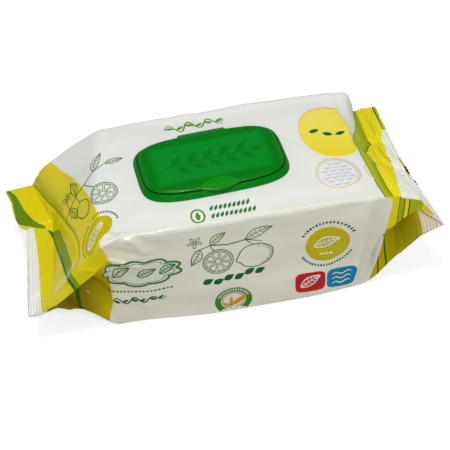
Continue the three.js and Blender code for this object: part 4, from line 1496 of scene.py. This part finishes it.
def ribbon(path, width, taper=0.0, step=PATH_STEP):
    """Strip of ink along a path, with points width / 2 to its left and right; taper thins its two ends."""
    path = even_steps(path, step)
    along = np.gradient(path, axis=0)
    along /= np.hypot(*along.T)[:, None] + FLAT_STEP
    aside = np.stack([-along[:, 1], along[:, 0]], -1)
    share = np.linspace(0, 1, len(path))
    half = 0.5 * width * (1 - taper * abs(2 * share - 1) ** 2)[:, None]
    points = np.concatenate([path + aside * half, path - aside * half])
    n = len(path)
    i = np.arange(n - 1)
    return points, np.stack([i, n + i, n + i + 1, i + 1], -1)


def closed_line(border, width, taper=0.0, step=PATH_STEP):
    """Ribbon round a closed outline."""
    return ribbon(np.concatenate([border, border[:1]]), width, taper, step)


def filled(border):
    """Patch of ink inside a closed outline: the outline shrunk towards its middle in equal steps."""
    border = even_steps(np.concatenate([border, border[:1]]), BORDER_STEP)[:-1]
    middle = border.mean(0)
    reach = np.hypot(*(border - middle).T).max()
    rings = max(2, int(reach / RING_STEP))
    scales = np.linspace(1, HUB_SHARE, rings)
    points = np.concatenate([middle + (border - middle) * scale for scale in scales] + [[middle]])
    n, hub = len(border), rings * len(border)
    fan_start = hub - n
    i = np.arange(n)
    after = (i + 1) % n
    quads = [np.stack([k + i, k + after, k + n + after, k + n + i], -1) for k in range(0, fan_start, n)]
    fan = np.stack([fan_start + i, fan_start + after, np.full(n, hub), np.full(n, hub)], -1)
    return points, np.concatenate(quads + [fan])


print("a stroke of 9 mm has", len(ribbon([(0, 0), (9, 0)], 1.0)[0]), "points")

# %% [markdown]
# All shapes of one ink become one piece, as a press lays down one ink at a time. It is a thin closed slab
# and not a bare sheet, so that it can be carved or printed like any other piece.
# Its material is the film's satin finish over a colour that is a little uneven, as a screened print is.

# %% Pieces of print
INK_LIFT, INK_SINK = 0.09, 0.06
TONE_G, TONE_RUN = 8.0, 16.0
INK_ROUGHNESS, SHADE_SHARE, SHADE_LEVEL, SHADE_SCALE = (0.44, 0.56), 0.7, 0.86, 260


def ink_material(name, colour, tone):
    """A colour, shaded into a tone towards the pack's front where one is given, under the clear coat."""
    w = Wires(name)
    shaded = w.blend(w.below(w.number("web_g"), TONE_G, TONE_RUN), colour, tone) if tone else colour
    shade = tuple(SHADE_LEVEL * channel for channel in colour[:3]) + (1.0,)
    uneven = w.spread(w.noise(SHADE_SCALE, WRINKLE_DETAIL), 0.0, SHADE_SHARE)
    w.join(w.blend(uneven, shaded, shade), w.shader.inputs["Base Color"])
    w.shader.inputs["Coat Weight"].default_value = FILM_COAT
    satin_finish(w, INK_ROUGHNESS)
    return w.material


def slab_faces(faces, count):
    """Faces of a thin slab: the given ones on top, the same turned over below, and a wall at each border."""
    edges = np.concatenate([faces[:, [i, (i + 1) % 4]] for i in range(4)])
    edges = edges[edges[:, 0] != edges[:, 1]].tolist()
    known = set(map(tuple, edges))
    border = np.array([edge for edge in edges if (edge[1], edge[0]) not in known])
    walls = np.stack([border[:, 1], border[:, 0], border[:, 0] + count, border[:, 1] + count], -1)
    every = np.concatenate([faces, faces[:, ::-1] + count, walls]).tolist()
    return [list(dict.fromkeys(face)) for face in every]


def ink(name, shapes, colour, layer=0, tone=None):
    """One piece of print: all shapes of one ink, as thin closed slabs that follow the film."""
    flat, faces, start = [], [], 0
    for points, quads in shapes:
        first, second, third = points[quads[0, :3]]
        area = np.cross(second - first, third - first)
        flat.append(points)
        faces.append((quads if area > 0 else quads[:, ::-1]) + start)
        start += len(points)
    flat = np.concatenate(flat)
    points = np.concatenate([on_film(flat, INK_LIFT * (1 + layer)), on_film(flat, -INK_SINK)])
    piece = mesh_piece(name, points, slab_faces(np.concatenate(faces), start))
    piece.data.materials.append(ink_material(name, colour, tone))
    for axis, place in (("web_s", flat[:, 0]), ("web_g", flat[:, 1])):
        store_number(piece, axis, np.concatenate([place, place]))
    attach(piece, "pack")
    print(name, len(piece.data.polygons), "faces")


print("ink lies", INK_LIFT, "mm over the film, and each further layer as much over the last")

# %% [markdown]
# The drawings are plain ones of the print shop's kind, and each helper returns shapes of ink on the flat
# web, in millimetres. The leaf comes first, as most of the print is leaves: a fuller kind of sine for each
# side, bowed by a parabola. A ring is an ellipse, or a squarer curve by a higher power.

# %% Drawn leaves and rings
ARC_POINTS = 97
LEAF_FULLNESS = 0.85
VEIN_STARTS, VEIN_RUN, VEIN_REACH, VEIN_CURVE = np.linspace(0.2, 0.72, 4), 0.13, 0.78, 0.8
RIB_WEIGHT, VEIN_WEIGHT, VEIN_TAPER = 0.8, 0.6, 0.7


def turned(path, place, turn):
    """A drawn path turned by an angle and moved to its place on the web."""
    cosine, sine = np.cos(turn), np.sin(turn)
    x, y = np.asarray(path, float).T
    return np.stack([x * cosine - y * sine + place[0], x * sine + y * cosine + place[1]], -1)


def ring_path(place, radii, start=0.0, end=360.0, power=2.0, tilt=0.0):
    """Part of an ellipse, or of a superellipse where power is above 2, between two angles in degrees."""
    angle = np.radians(np.linspace(start, end, ARC_POINTS))
    cosine, sine = np.cos(angle), np.sin(angle)
    x = radii[0] * np.sign(cosine) * abs(cosine) ** (2 / power)
    y = radii[1] * np.sign(sine) * abs(sine) ** (2 / power)
    return turned(np.stack([x, y], -1), place, tilt)


def round_path(place, radius, *angles):
    """A circle, or its part between two angles in degrees."""
    return ring_path(place, (radius, radius), *angles)


def leaf_side(t, width):
    """Half the leaf's width at a share t of its length: a sine, fuller near the tip."""
    return width / 2 * np.sin(np.pi * t**LEAF_FULLNESS)


def leaf_border(place, turn, length, width, bend=0.0):
    """Outline of a pointed leaf from its stalk, bowed by a parabola."""
    t = np.linspace(0, 1, 40)
    side, bow = leaf_side(t, width), bend * 4 * t * (1 - t)
    upper = np.stack([length * t, side + bow], -1)
    lower = np.stack([length * t, -side + bow], -1)[::-1]
    return turned(np.concatenate([upper, lower[1:-1]]), place, turn)


def leaf_lines(place, turn, length, width, bend=0.0, weight=0.5):
    """Drawn leaf: its outline, its midrib and pairs of veins."""
    t = np.linspace(0, 0.96, 30)
    rib = np.stack([length * t, bend * 4 * t * (1 - t)], -1)
    lines = [closed_line(leaf_border(place, turn, length, width, bend), weight),
             ribbon(turned(rib, place, turn), weight * RIB_WEIGHT)]
    v = np.linspace(0, 1, 10)
    for at in VEIN_STARTS:
        for side in (-1, 1):
            reach = side * VEIN_REACH * leaf_side(at, width)
            out = bend * 4 * at * (1 - at) + reach * v**VEIN_CURVE
            vein = np.stack([length * (at + VEIN_RUN * v), out], -1)
            lines.append(ribbon(turned(vein, place, turn), weight * VEIN_WEIGHT, VEIN_TAPER))
    return lines


print("a drawn leaf has", len(leaf_lines((0, 0), 0, 14, 6)), "strokes, a full ring", ARC_POINTS, "points")

# %% [markdown]
# Fruit, blossoms and twigs are line art, like a botanist's plate. A real pen is never even, so the whole
# fruit's outline wavers by two slow waves, and its shading strokes have three lengths in turn.

# %% Drawn fruit, blossoms and twigs
SEGMENT_OPENING, SEGMENT_REACH, SEGMENT_HUB, SEGMENT_WEIGHT = 0.78, 0.8, 0.16, 0.7
PITH_RADIUS, PITH_WEIGHT = 0.88, 0.6
WAVER = ((0.02, 3, 1), (0.012, 7, 0))
FRUIT_TIP, FRUIT_TIP_WIDTH = 0.16, 0.22
STROKES, FIRST_STROKE, STROKE_TURN, STROKE_START = 22, -82, 7.5, 0.97
STROKE_END, STROKE_STEP, STROKE_WEIGHT, STROKE_TAPER = 0.86, 0.05, 0.5, 0.5
HUB_RADIUS, PETAL_START, PETAL_LENGTH, PETAL_WIDTH, PETAL_STEP = 0.22, 0.26, 0.8, 0.42, 0.6
TWIG_TAPER, STALK_TAPER = 0.5, 0.3
FINE_STEP = 0.5


def slice_lines(place, radius, weight, parts, turn=0.2):
    """Drawn fruit slice: two rings and a fan of rounded segments."""
    lines = [ribbon(round_path(place, radius), weight),
             ribbon(round_path(place, radius * PITH_RADIUS), weight * PITH_WEIGHT)]
    opening = SEGMENT_OPENING * np.pi / parts * np.linspace(-1, 1, 24)
    arc = SEGMENT_REACH * radius * np.stack([np.cos(opening), np.sin(opening)], -1)
    hub = [[SEGMENT_HUB * radius, 0]]
    segment = np.concatenate([hub, arc, hub])
    for k in range(parts):
        lines.append(ribbon(turned(segment, place, turn + 2 * np.pi * k / parts), weight * SEGMENT_WEIGHT))
    return lines


def fruit_lines(place, radii, weight, turn):
    """Drawn whole fruit: an uneven outline with a pointed end, and rows of short shading strokes."""
    angle = np.linspace(0, 2 * np.pi, 120)
    uneven = 1 + sum(height * np.sin(count * angle + phase) for height, count, phase in WAVER)
    uneven += FRUIT_TIP * np.exp(-((angle - np.pi) / FRUIT_TIP_WIDTH) ** 2)
    border = np.stack([radii[0] * np.cos(angle) * uneven, radii[1] * np.sin(angle) * uneven], -1)
    lines = [ribbon(turned(border, place, turn), weight)]
    for k in range(STROKES):
        at = np.radians(FIRST_STROKE + STROKE_TURN * k)
        rim = np.array([radii[0] * np.cos(at), radii[1] * np.sin(at)])
        reach = STROKE_END - STROKE_STEP * (k % 3)
        stroke = turned([rim * STROKE_START, rim * (reach + STROKE_STEP), rim * reach], place, turn)
        lines.append(ribbon(stroke, weight * STROKE_WEIGHT, STROKE_TAPER, FINE_STEP))
    return lines


def blossom_lines(place, radius, weight, petals=5, turn=0.3):
    """Drawn blossom: petals as narrow leaves round a small ring."""
    lines = [ribbon(round_path(place, radius * HUB_RADIUS), weight)]
    for k in range(petals):
        at = turn + 2 * np.pi * k / petals
        start = np.add(place, radius * PETAL_START * np.array([np.cos(at), np.sin(at)]))
        petal = leaf_border(start, at, radius * PETAL_LENGTH, radius * PETAL_WIDTH)
        lines.append(closed_line(petal, weight, step=PETAL_STEP))
    return lines


def twig_lines(twig, stalks, leaves, weight, stalk_weight):
    """Twig that thins to its ends, with its stalks and its drawn leaves."""
    lines = [ribbon(twig, weight, TWIG_TAPER)]
    lines += [ribbon(stalk, stalk_weight, STALK_TAPER) for stalk in stalks]
    for leaf in leaves:
        lines += leaf_lines(*leaf)
    return lines


print("a blossom has", len(blossom_lines((0, 0), 5.0, 0.5)), "strokes, a whole fruit", STROKES + 1)

# %% [markdown]
# Rows of short bars and garlands of leaves fill the places between the larger drawings. Their small uneven
# lengths come from seeded draws, so every run gives the same print.

# %% Rows of dashes and garlands
DASH_SHARE = (0.2, 0.34)
VINE_START_HEIGHT, VINE_END_LOSS, VINE_TAPER, VINE_STEP = 1.1, 0.4, 0.6, 0.7
LEAF_LAG, LEAF_LEAN, LEAF_LENGTHS, LEAF_WIDTH_SHARE = 0.12, (0.3, 0.6), (0.85, 1.15), 0.42


def dashes_round(place, radii, start, end, count, size, tilt=0.0):
    """Short bars of seeded lengths set round part of an ellipse."""
    shapes = []
    draw = np.random.default_rng(count)
    for k in range(count):
        middle = start + (end - start) * (k + 0.5) / count
        half = abs(end - start) / count * draw.uniform(*DASH_SHARE)
        bar = ring_path(place, radii, middle - half, middle + half, tilt=tilt)
        shapes.append(ribbon(bar, size, 0, FINE_STEP))
    return shapes


def dash_row(start, end, size, lengths, gap, seed):
    """Short bars of seeded lengths along a straight line, a gap apart."""
    shapes = []
    draw = np.random.default_rng(seed)
    start, end = np.array(start, float), np.array(end, float)
    whole = np.hypot(*(end - start))
    way = (end - start) / whole
    at = 0.0
    while at < whole:
        length = draw.uniform(*lengths)
        shapes.append(ribbon([start + way * at, start + way * (at + length)], size, 0, FINE_STEP))
        at += length + gap
    return shapes


def vine(start, end, height, waves, weight, leaf, seed):
    """Garland: a sine wave along a line that thins to its end, with filled leaves at its turns."""
    draw = np.random.default_rng(seed)
    start, end = np.array(start, float), np.array(end, float)
    length, turn = np.hypot(*(end - start)), np.arctan2(end[1] - start[1], end[0] - start[0])

    def on_vine(t):
        """Place at a share of the garland's length, before it is turned."""
        swing = height * (VINE_START_HEIGHT - VINE_END_LOSS * t)
        return np.stack([length * t, swing * np.sin(2 * np.pi * waves * t)], -1)

    shapes = [ribbon(turned(on_vine(np.linspace(0, 1, 160)), start, turn), weight, VINE_TAPER, VINE_STEP)]
    for k in range(int(2 * waves)):
        side = 1 if k % 2 == 0 else -1
        place = turned([on_vine((k + LEAF_LAG) / (2 * waves))], start, turn)[0]
        lean = turn - side * draw.uniform(*LEAF_LEAN)
        long = leaf * draw.uniform(*LEAF_LENGTHS)
        shapes.append(filled(leaf_border(place, lean, long, leaf * LEAF_WIDTH_SHARE)))
    return shapes


print("dashes take", DASH_SHARE, "of their pitch to each side of their middle")

# %% [markdown]
# Now the print itself. The top panel has a garland, a yellow patch with leaves that is cut off by the end's
# crease, and a disc of quilted wipe: small arcs on staggered rows, each the shadow of a dimple.

# %% Print on the top panel
INK_GREEN = srgb(66, 120, 36)
INK_FRESH_GREEN = srgb(92, 152, 28)
INK_DEEP_GREEN = srgb(26, 92, 48)
INK_YELLOW = srgb(240, 223, 92)
INK_WARM_YELLOW = srgb(238, 218, 0)
INK_OLIVE = srgb(194, 182, 10)
INK_AMBER = srgb(238, 206, 120)
INK_WHITE = srgb(236, 236, 230)
INK_WIPE = srgb(229, 230, 230)
INK_DIMPLE = srgb(192, 195, 197)
LEAF_RING, LEAF_RING_RADII, LEAF_RING_WEIGHT = (-25.6, -46.2), (4.3, 4.9), 1.2
RING_LEAF = ((-25.6, -49.6), np.pi / 2, 6.8, 3.2)
PATCH_MIDDLE, PATCH_RADII, PATCH_POWER, PATCH_GAP = (75.5, 12.5), (20.0, 25.5), 2.15, 0.2
PATCH_LIMIT = ([-14, -5, *FLAP_CREASE[0][1:]], [87.9, 90.4, *FLAP_CREASE[1][1:]])
PATCH_LEAF_STARTS, PATCH_LEAF_G, PATCH_LEAF_FALL, PATCH_LEAF_SIZE = (62.0, 70.5, 79.0), 13.6, 0.22, (7.2, 3.4)
DISC_MIDDLE, DISC_RADII, DISC_RING = (69.4, -28.0), (11.6, 12.4), (12.5, 13.3)
NEXT_DISC, NEXT_DISC_PART = (98.0, -30.0), (151, 213)
DIMPLE_PITCH, DIMPLE_RADII, DIMPLE_MARGIN, DIMPLE_PART = (4.7, 3.1), (2.0, 1.5), (2.2, 1.6), (195, 345)


def patch_border():
    """Superellipse, cut off straight where the top panel ends."""
    border = ring_path(PATCH_MIDDLE, PATCH_RADII, power=PATCH_POWER)
    border[:, 0] = np.minimum(border[:, 0], np.interp(border[:, 1], *PATCH_LIMIT) - PATCH_GAP)
    return border


def dimples():
    """Arcs on staggered rows, kept where they fall in an ellipse a little smaller than the disc."""
    shapes = []
    for i in range(-4, 5):
        for j in range(-5, 6):
            off = np.array([DIMPLE_PITCH[0] * (i + 0.5 * (j % 2)), DIMPLE_PITCH[1] * j])
            if np.hypot(*(off / np.subtract(DISC_RADII, DIMPLE_MARGIN))) < 1:
                arc = ring_path(DISC_MIDDLE + off, DIMPLE_RADII, *DIMPLE_PART)
                shapes.append(ribbon(arc, width=0.75, taper=0.8, step=FINE_STEP))
    return shapes


fresh = vine((-32, 38.5), (9, 43.0), height=5.0, waves=3, weight=1.2, leaf=6.4, seed=3)
fresh += [ribbon(ring_path(LEAF_RING, LEAF_RING_RADII), LEAF_RING_WEIGHT), filled(leaf_border(*RING_LEAF))]
ink("print_fresh_green", fresh, INK_FRESH_GREEN)
ink("print_lemon_patch", [filled(patch_border())], INK_YELLOW, tone=INK_WARM_YELLOW)
patch_leaves = []
for k, at in enumerate(PATCH_LEAF_STARTS):
    place = (at, PATCH_LEAF_G - PATCH_LEAF_FALL * (at - PATCH_LEAF_STARTS[0]))
    patch_leaves.append(filled(leaf_border(place, 0.25 - 0.5 * (k % 2), *PATCH_LEAF_SIZE)))
ink("print_patch_leaves", patch_leaves, INK_DEEP_GREEN, layer=1)
disc_rings = [ring_path(DISC_MIDDLE, DISC_RING), ring_path(NEXT_DISC, DISC_RING, *NEXT_DISC_PART)]
ink("print_disc_ring", [ribbon(ring, 0.7) for ring in disc_rings], INK_AMBER)
ink("print_disc", [filled(ring_path(DISC_MIDDLE, DISC_RADII))], INK_WIPE)
ink("print_disc_dimples", dimples(), INK_DIMPLE, layer=1)

# %% [markdown]
# On the left slope a twig with leaves, a blossom, a whole fruit and a slice runs over the edge of the
# yellow field, and an oval badge lies across the fold to the front panel.

# %% Print on the left slope
SLOPE_TWIG = [(-121, -6), (-113, 0), (-104, 5), (-95, 7), (-86, 12), (-77, 17)]
SLOPE_STALKS = [
    [(-95, 7), (-90, 1), (-86, -3)], [(-104, 5), (-103, 0), (-101.5, -4)],
    [(-113, 0), (-113.6, 5), (-112.8, 10)],
]
# Each leaf: place, turn, length, width, bend and weight.
SLOPE_LEAVES = [
    ((-86, 12), 1.25, 17, 6.0, 0.9, 0.65), ((-77, 17), 0.1, 13, 5.0, 0.7, 0.6),
    ((-104, 5), 1.75, 17, 6.2, -0.9, 0.65), ((-113, 0), -1.25, 15, 6.4, 1.0, 0.65),
]
FOLD_BADGE, FOLD_BADGE_TILT = (-91.5, -43.2), 0.72
FOLD_BADGE_RADII, FOLD_DASH_RADII = (16.5, 9.2), (20.0, 12.6)
FOLD_BADGE_LEAF = ((-102, -51.5), 0.72, 25, 8.5, 0, 0.8)

slope_lines = twig_lines(SLOPE_TWIG, SLOPE_STALKS, SLOPE_LEAVES, weight=0.9, stalk_weight=0.6)
slope_lines += slice_lines((-81, -10.5), radius=9.4, weight=0.6, parts=8)
slope_lines += fruit_lines((-99.5, -12.5), (8.6, 6.8), weight=0.6, turn=-1.3)
slope_lines += blossom_lines((-112.5, 12.5), radius=5.0, weight=0.5)
ink("print_slope_lines", slope_lines, INK_GREEN)
badge = ring_path(FOLD_BADGE, FOLD_BADGE_RADII, tilt=FOLD_BADGE_TILT)
ink("print_fold_badge", [filled(badge)], INK_OLIVE, layer=1)
badge_dashes = []
for start, end, count in ((-25, 62, 14), (78, 168, 16)):
    badge_dashes += dashes_round(FOLD_BADGE, FOLD_DASH_RADII, start, end, count, 1.4, FOLD_BADGE_TILT)
ink("print_fold_badge_dashes", badge_dashes, INK_DEEP_GREEN)
ink("print_fold_badge_leaf", leaf_lines(*FOLD_BADGE_LEAF), INK_WHITE, layer=2)

# %% [markdown]
# The front panel has the largest drawings: a twig with fruit, and a lobed outline with three leaves over a
# row of dashes and a garland. Two rows of small leaves lie above them, on the top panel's front part.

# %% Print on the front panel
INK_CLOUD, INK_CLOUD_LINES, INK_SMALL_LEAVES = srgb(222, 222, 204), srgb(44, 116, 44), srgb(52, 126, 58)
FRONT_TWIG = [(-30, -77), (-20, -73.5), (-9, -75.5), (3, -73.5), (14, -77)]
FRONT_STALKS = [[(-20, -73.5), (-19, -77), (-17, -79)], [(3, -73.5), (6, -77), (8, -78.5)]]
FRONT_LEAVES = [
    ((-20, -73.5), 0.75, 14, 6.2, 0.9, 0.65), ((3, -73.5), 0.42, 20, 7.2, 1.2, 0.65),
    ((-27, -75.8), -2.0, 15, 6.4, 0.8, 0.65),
]
CLOUD_MIDDLE, CLOUD_HALF, CLOUD_LOBES, CLOUD_TILT = (-66.5, -91), (27, 11.5), 9, 0.1
CLOUD_SWELL, CLOUD_WAIST, CLOUD_RINGS, CLOUD_STEP = 0.17, 0.86, ((1.0, 1.5), (0.84, 0.4)), 0.6
CLOUD_LEAVES, CLOUD_LEAF_G, CLOUD_LEAF_RISE = ((-84, 0.75, 15), (-68.5, 0.5, 14), (-54, 0.6, 13)), -87.4, 0.1
SMALL_LEAF_ROWS, SMALL_LEAF_START, SMALL_LEAF_PITCH = ((-43.6, 9), (-49.8, 10)), -17, 3.0
SMALL_LEAF, SMALL_LEAF_RISE = (1.1, 4.8, 2.1), 0.03
DEEP_LEAF_STARTS, DEEP_LEAF = np.linspace(-26.5, 8.5, 6), (0.45, 7.8, 4.8)
DEEP_LEAF_G, DEEP_LEAF_RISE, DEEP_LEAF_STEP = -103.6, 0.11, 1.6
FRONT_BADGE, FRONT_BADGE_RADII, FRONT_DASH_RADII = (57.2, -89.4), (14.3, 14.9), (18.4, 19.0)


def cloud_border(share):
    """Ellipse with rounded lobes: its radius swells with the absolute sine of the angle."""
    angle = np.linspace(0, 2 * np.pi, 361)
    lobes = CLOUD_WAIST + CLOUD_SWELL * abs(np.sin(CLOUD_LOBES * angle / 2))
    drawn = np.stack([CLOUD_HALF[0] * np.cos(angle), CLOUD_HALF[1] * np.sin(angle)], -1)
    return turned(drawn * lobes[:, None] * share, CLOUD_MIDDLE, CLOUD_TILT)


front_lines = twig_lines(FRONT_TWIG, FRONT_STALKS, FRONT_LEAVES, weight=0.95, stalk_weight=0.65)
front_lines += slice_lines((-15.5, -88.5), radius=10.0, weight=0.65, parts=8)
front_lines += fruit_lines((9.5, -88.5), (11.6, 9.8), weight=0.7, turn=0.2)
front_lines += blossom_lines((-30, -69), radius=5.0, weight=0.5, turn=0.9)
ink("print_front_lines", front_lines, INK_GREEN)

ink("print_cloud", [filled(cloud_border(0.97)[:-1])], INK_CLOUD)
cloud = [ribbon(cloud_border(share), weight, step=CLOUD_STEP) for share, weight in CLOUD_RINGS]
for start, lean, long in CLOUD_LEAVES:
    cloud += leaf_lines((start, CLOUD_LEAF_G + CLOUD_LEAF_RISE * start), lean, long, 0.42 * long, 0.8, 0.8)
ink("print_cloud_lines", cloud, INK_CLOUD_LINES, layer=1)

small = []
for g_at, count in SMALL_LEAF_ROWS:
    for k in range(count):
        out = SMALL_LEAF_PITCH * k
        small.append(filled(leaf_border((SMALL_LEAF_START + out, g_at + SMALL_LEAF_RISE * out), *SMALL_LEAF)))
ink("print_small_leaves", small, INK_SMALL_LEAVES)

deep = []
for k, at in enumerate(DEEP_LEAF_STARTS):
    place = (at, DEEP_LEAF_G + DEEP_LEAF_RISE * at - DEEP_LEAF_STEP * (k % 2))
    deep.append(filled(leaf_border(place, *DEEP_LEAF)))
deep += dashes_round(FRONT_BADGE, FRONT_DASH_RADII, 28, 152, count=17, size=1.9)
deep += dashes_round(FRONT_BADGE, FRONT_DASH_RADII, 206, 334, count=21, size=1.7)
deep += dash_row((-91, -109.5), (-46, -106.5), size=1.2, lengths=(1.0, 2.0), gap=1.1, seed=3)
deep += vine((-87, -117.5), (-51, -114.2), height=2.5, waves=3, weight=1.1, leaf=5.0, seed=5)
ink("print_deep_green", deep, INK_DEEP_GREEN)

# %% [markdown]
# The rest of the front: a round badge with a leaf, a ring that the lower edge cuts off, and two coloured
# tiles with soft corners, one with a leaf and one with waves. Each lighter ink is a layer on a darker one.

# %% Badge, ring and tiles
INK_RED = srgb(196, 24, 34)
INK_BLUE = srgb(0, 132, 168)
INK_ORANGE = srgb(214, 152, 8)
INK_SEAL_RING = srgb(66, 128, 30)
FRONT_BADGE_LEAF = ((48.5, -90.5), 0.25, 18, 8.0, 0.6, 0.9)
SEAL_RING, SEAL_RING_RADIUS, SEAL_INNER_RADIUS = (-6.7, -126.2), 10.6, 7.4
SEAL_LEAF_START, SEAL_LEAVES, SEAL_LEAF_WIDTH = (-8.0, -131.6), ((2.6, 8.4), (1.6, 9.5), (0.75, 15.5)), 0.24
TILE_SLOPE, TILE_CORNER = -0.06, 5.0
RED_TILE = {"left": 35.6, "right": 56.4, "top": -111.8, "bottom": -129.6}
BLUE_TILE = {"left": 57.6, "right": 80.2, "top": -113.1, "bottom": -131.0}
TILE_LEAF = ((39.5, -124.5), 0.55, 15.5, 7.6, 0.5, 0.9)
WAVE_START, WAVE_LENGTH, WAVE_HEIGHT, WAVE_COUNT, WAVE_PITCH = (61.5, -118.5), 14.5, 1.0, 1.5, 4.4


def tile_border(left, right, top, bottom):
    """Tile with soft corners, a superellipse, whose lower and upper sides follow the panel's slope."""
    half = ((right - left) / 2, (top - bottom) / 2)
    border = ring_path(((left + right) / 2, (top + bottom) / 2), half, power=TILE_CORNER)
    border[:, 1] += TILE_SLOPE * (border[:, 0] - left)
    return border


def wave(row):
    """One of the tile's rows: a sine along s."""
    t = np.linspace(0, 1, 40)
    g = WAVE_START[1] - WAVE_PITCH * row + WAVE_HEIGHT * np.sin(2 * np.pi * WAVE_COUNT * t)
    return np.stack([WAVE_START[0] + WAVE_LENGTH * t, g], -1)


seal_rings = [ribbon(round_path(SEAL_RING, SEAL_RING_RADIUS, -56, 236), 4.0),
              ribbon(round_path(SEAL_RING, SEAL_INNER_RADIUS, -80, 260), 0.5)]
ink("print_seal_ring", seal_rings, INK_SEAL_RING)
seal_dashes = dashes_round(SEAL_RING, (SEAL_RING_RADIUS, SEAL_RING_RADIUS), 20, 160, count=15, size=1.5)
ink("print_seal_dashes", seal_dashes, INK_WHITE, layer=1)
seal_leaves = [filled(leaf_border(SEAL_LEAF_START, lean, long, SEAL_LEAF_WIDTH * long))
               for lean, long in SEAL_LEAVES]
ink("print_seal_leaves", seal_leaves, INK_ORANGE, layer=2)

ink("print_front_badge", [filled(ring_path(FRONT_BADGE, FRONT_BADGE_RADII))], INK_OLIVE)
badge_lines = leaf_lines(*FRONT_BADGE_LEAF)
badge_lines += dash_row((52.5, -98), (61.5, -98.6), size=1.3, lengths=(1.8, 2.6), gap=0.8, seed=4)
ink("print_front_badge_leaf", badge_lines, INK_WHITE, layer=1)

ink("print_red_tile", [filled(tile_border(**RED_TILE))], INK_RED)
ink("print_blue_tile", [filled(tile_border(**BLUE_TILE))], INK_BLUE)
tile_lines = leaf_lines(*TILE_LEAF)
tile_lines += [ribbon(wave(row), width=0.9, taper=0.4, step=0.6) for row in range(3)]
ink("print_tile_lines", tile_lines, INK_WHITE, layer=1)
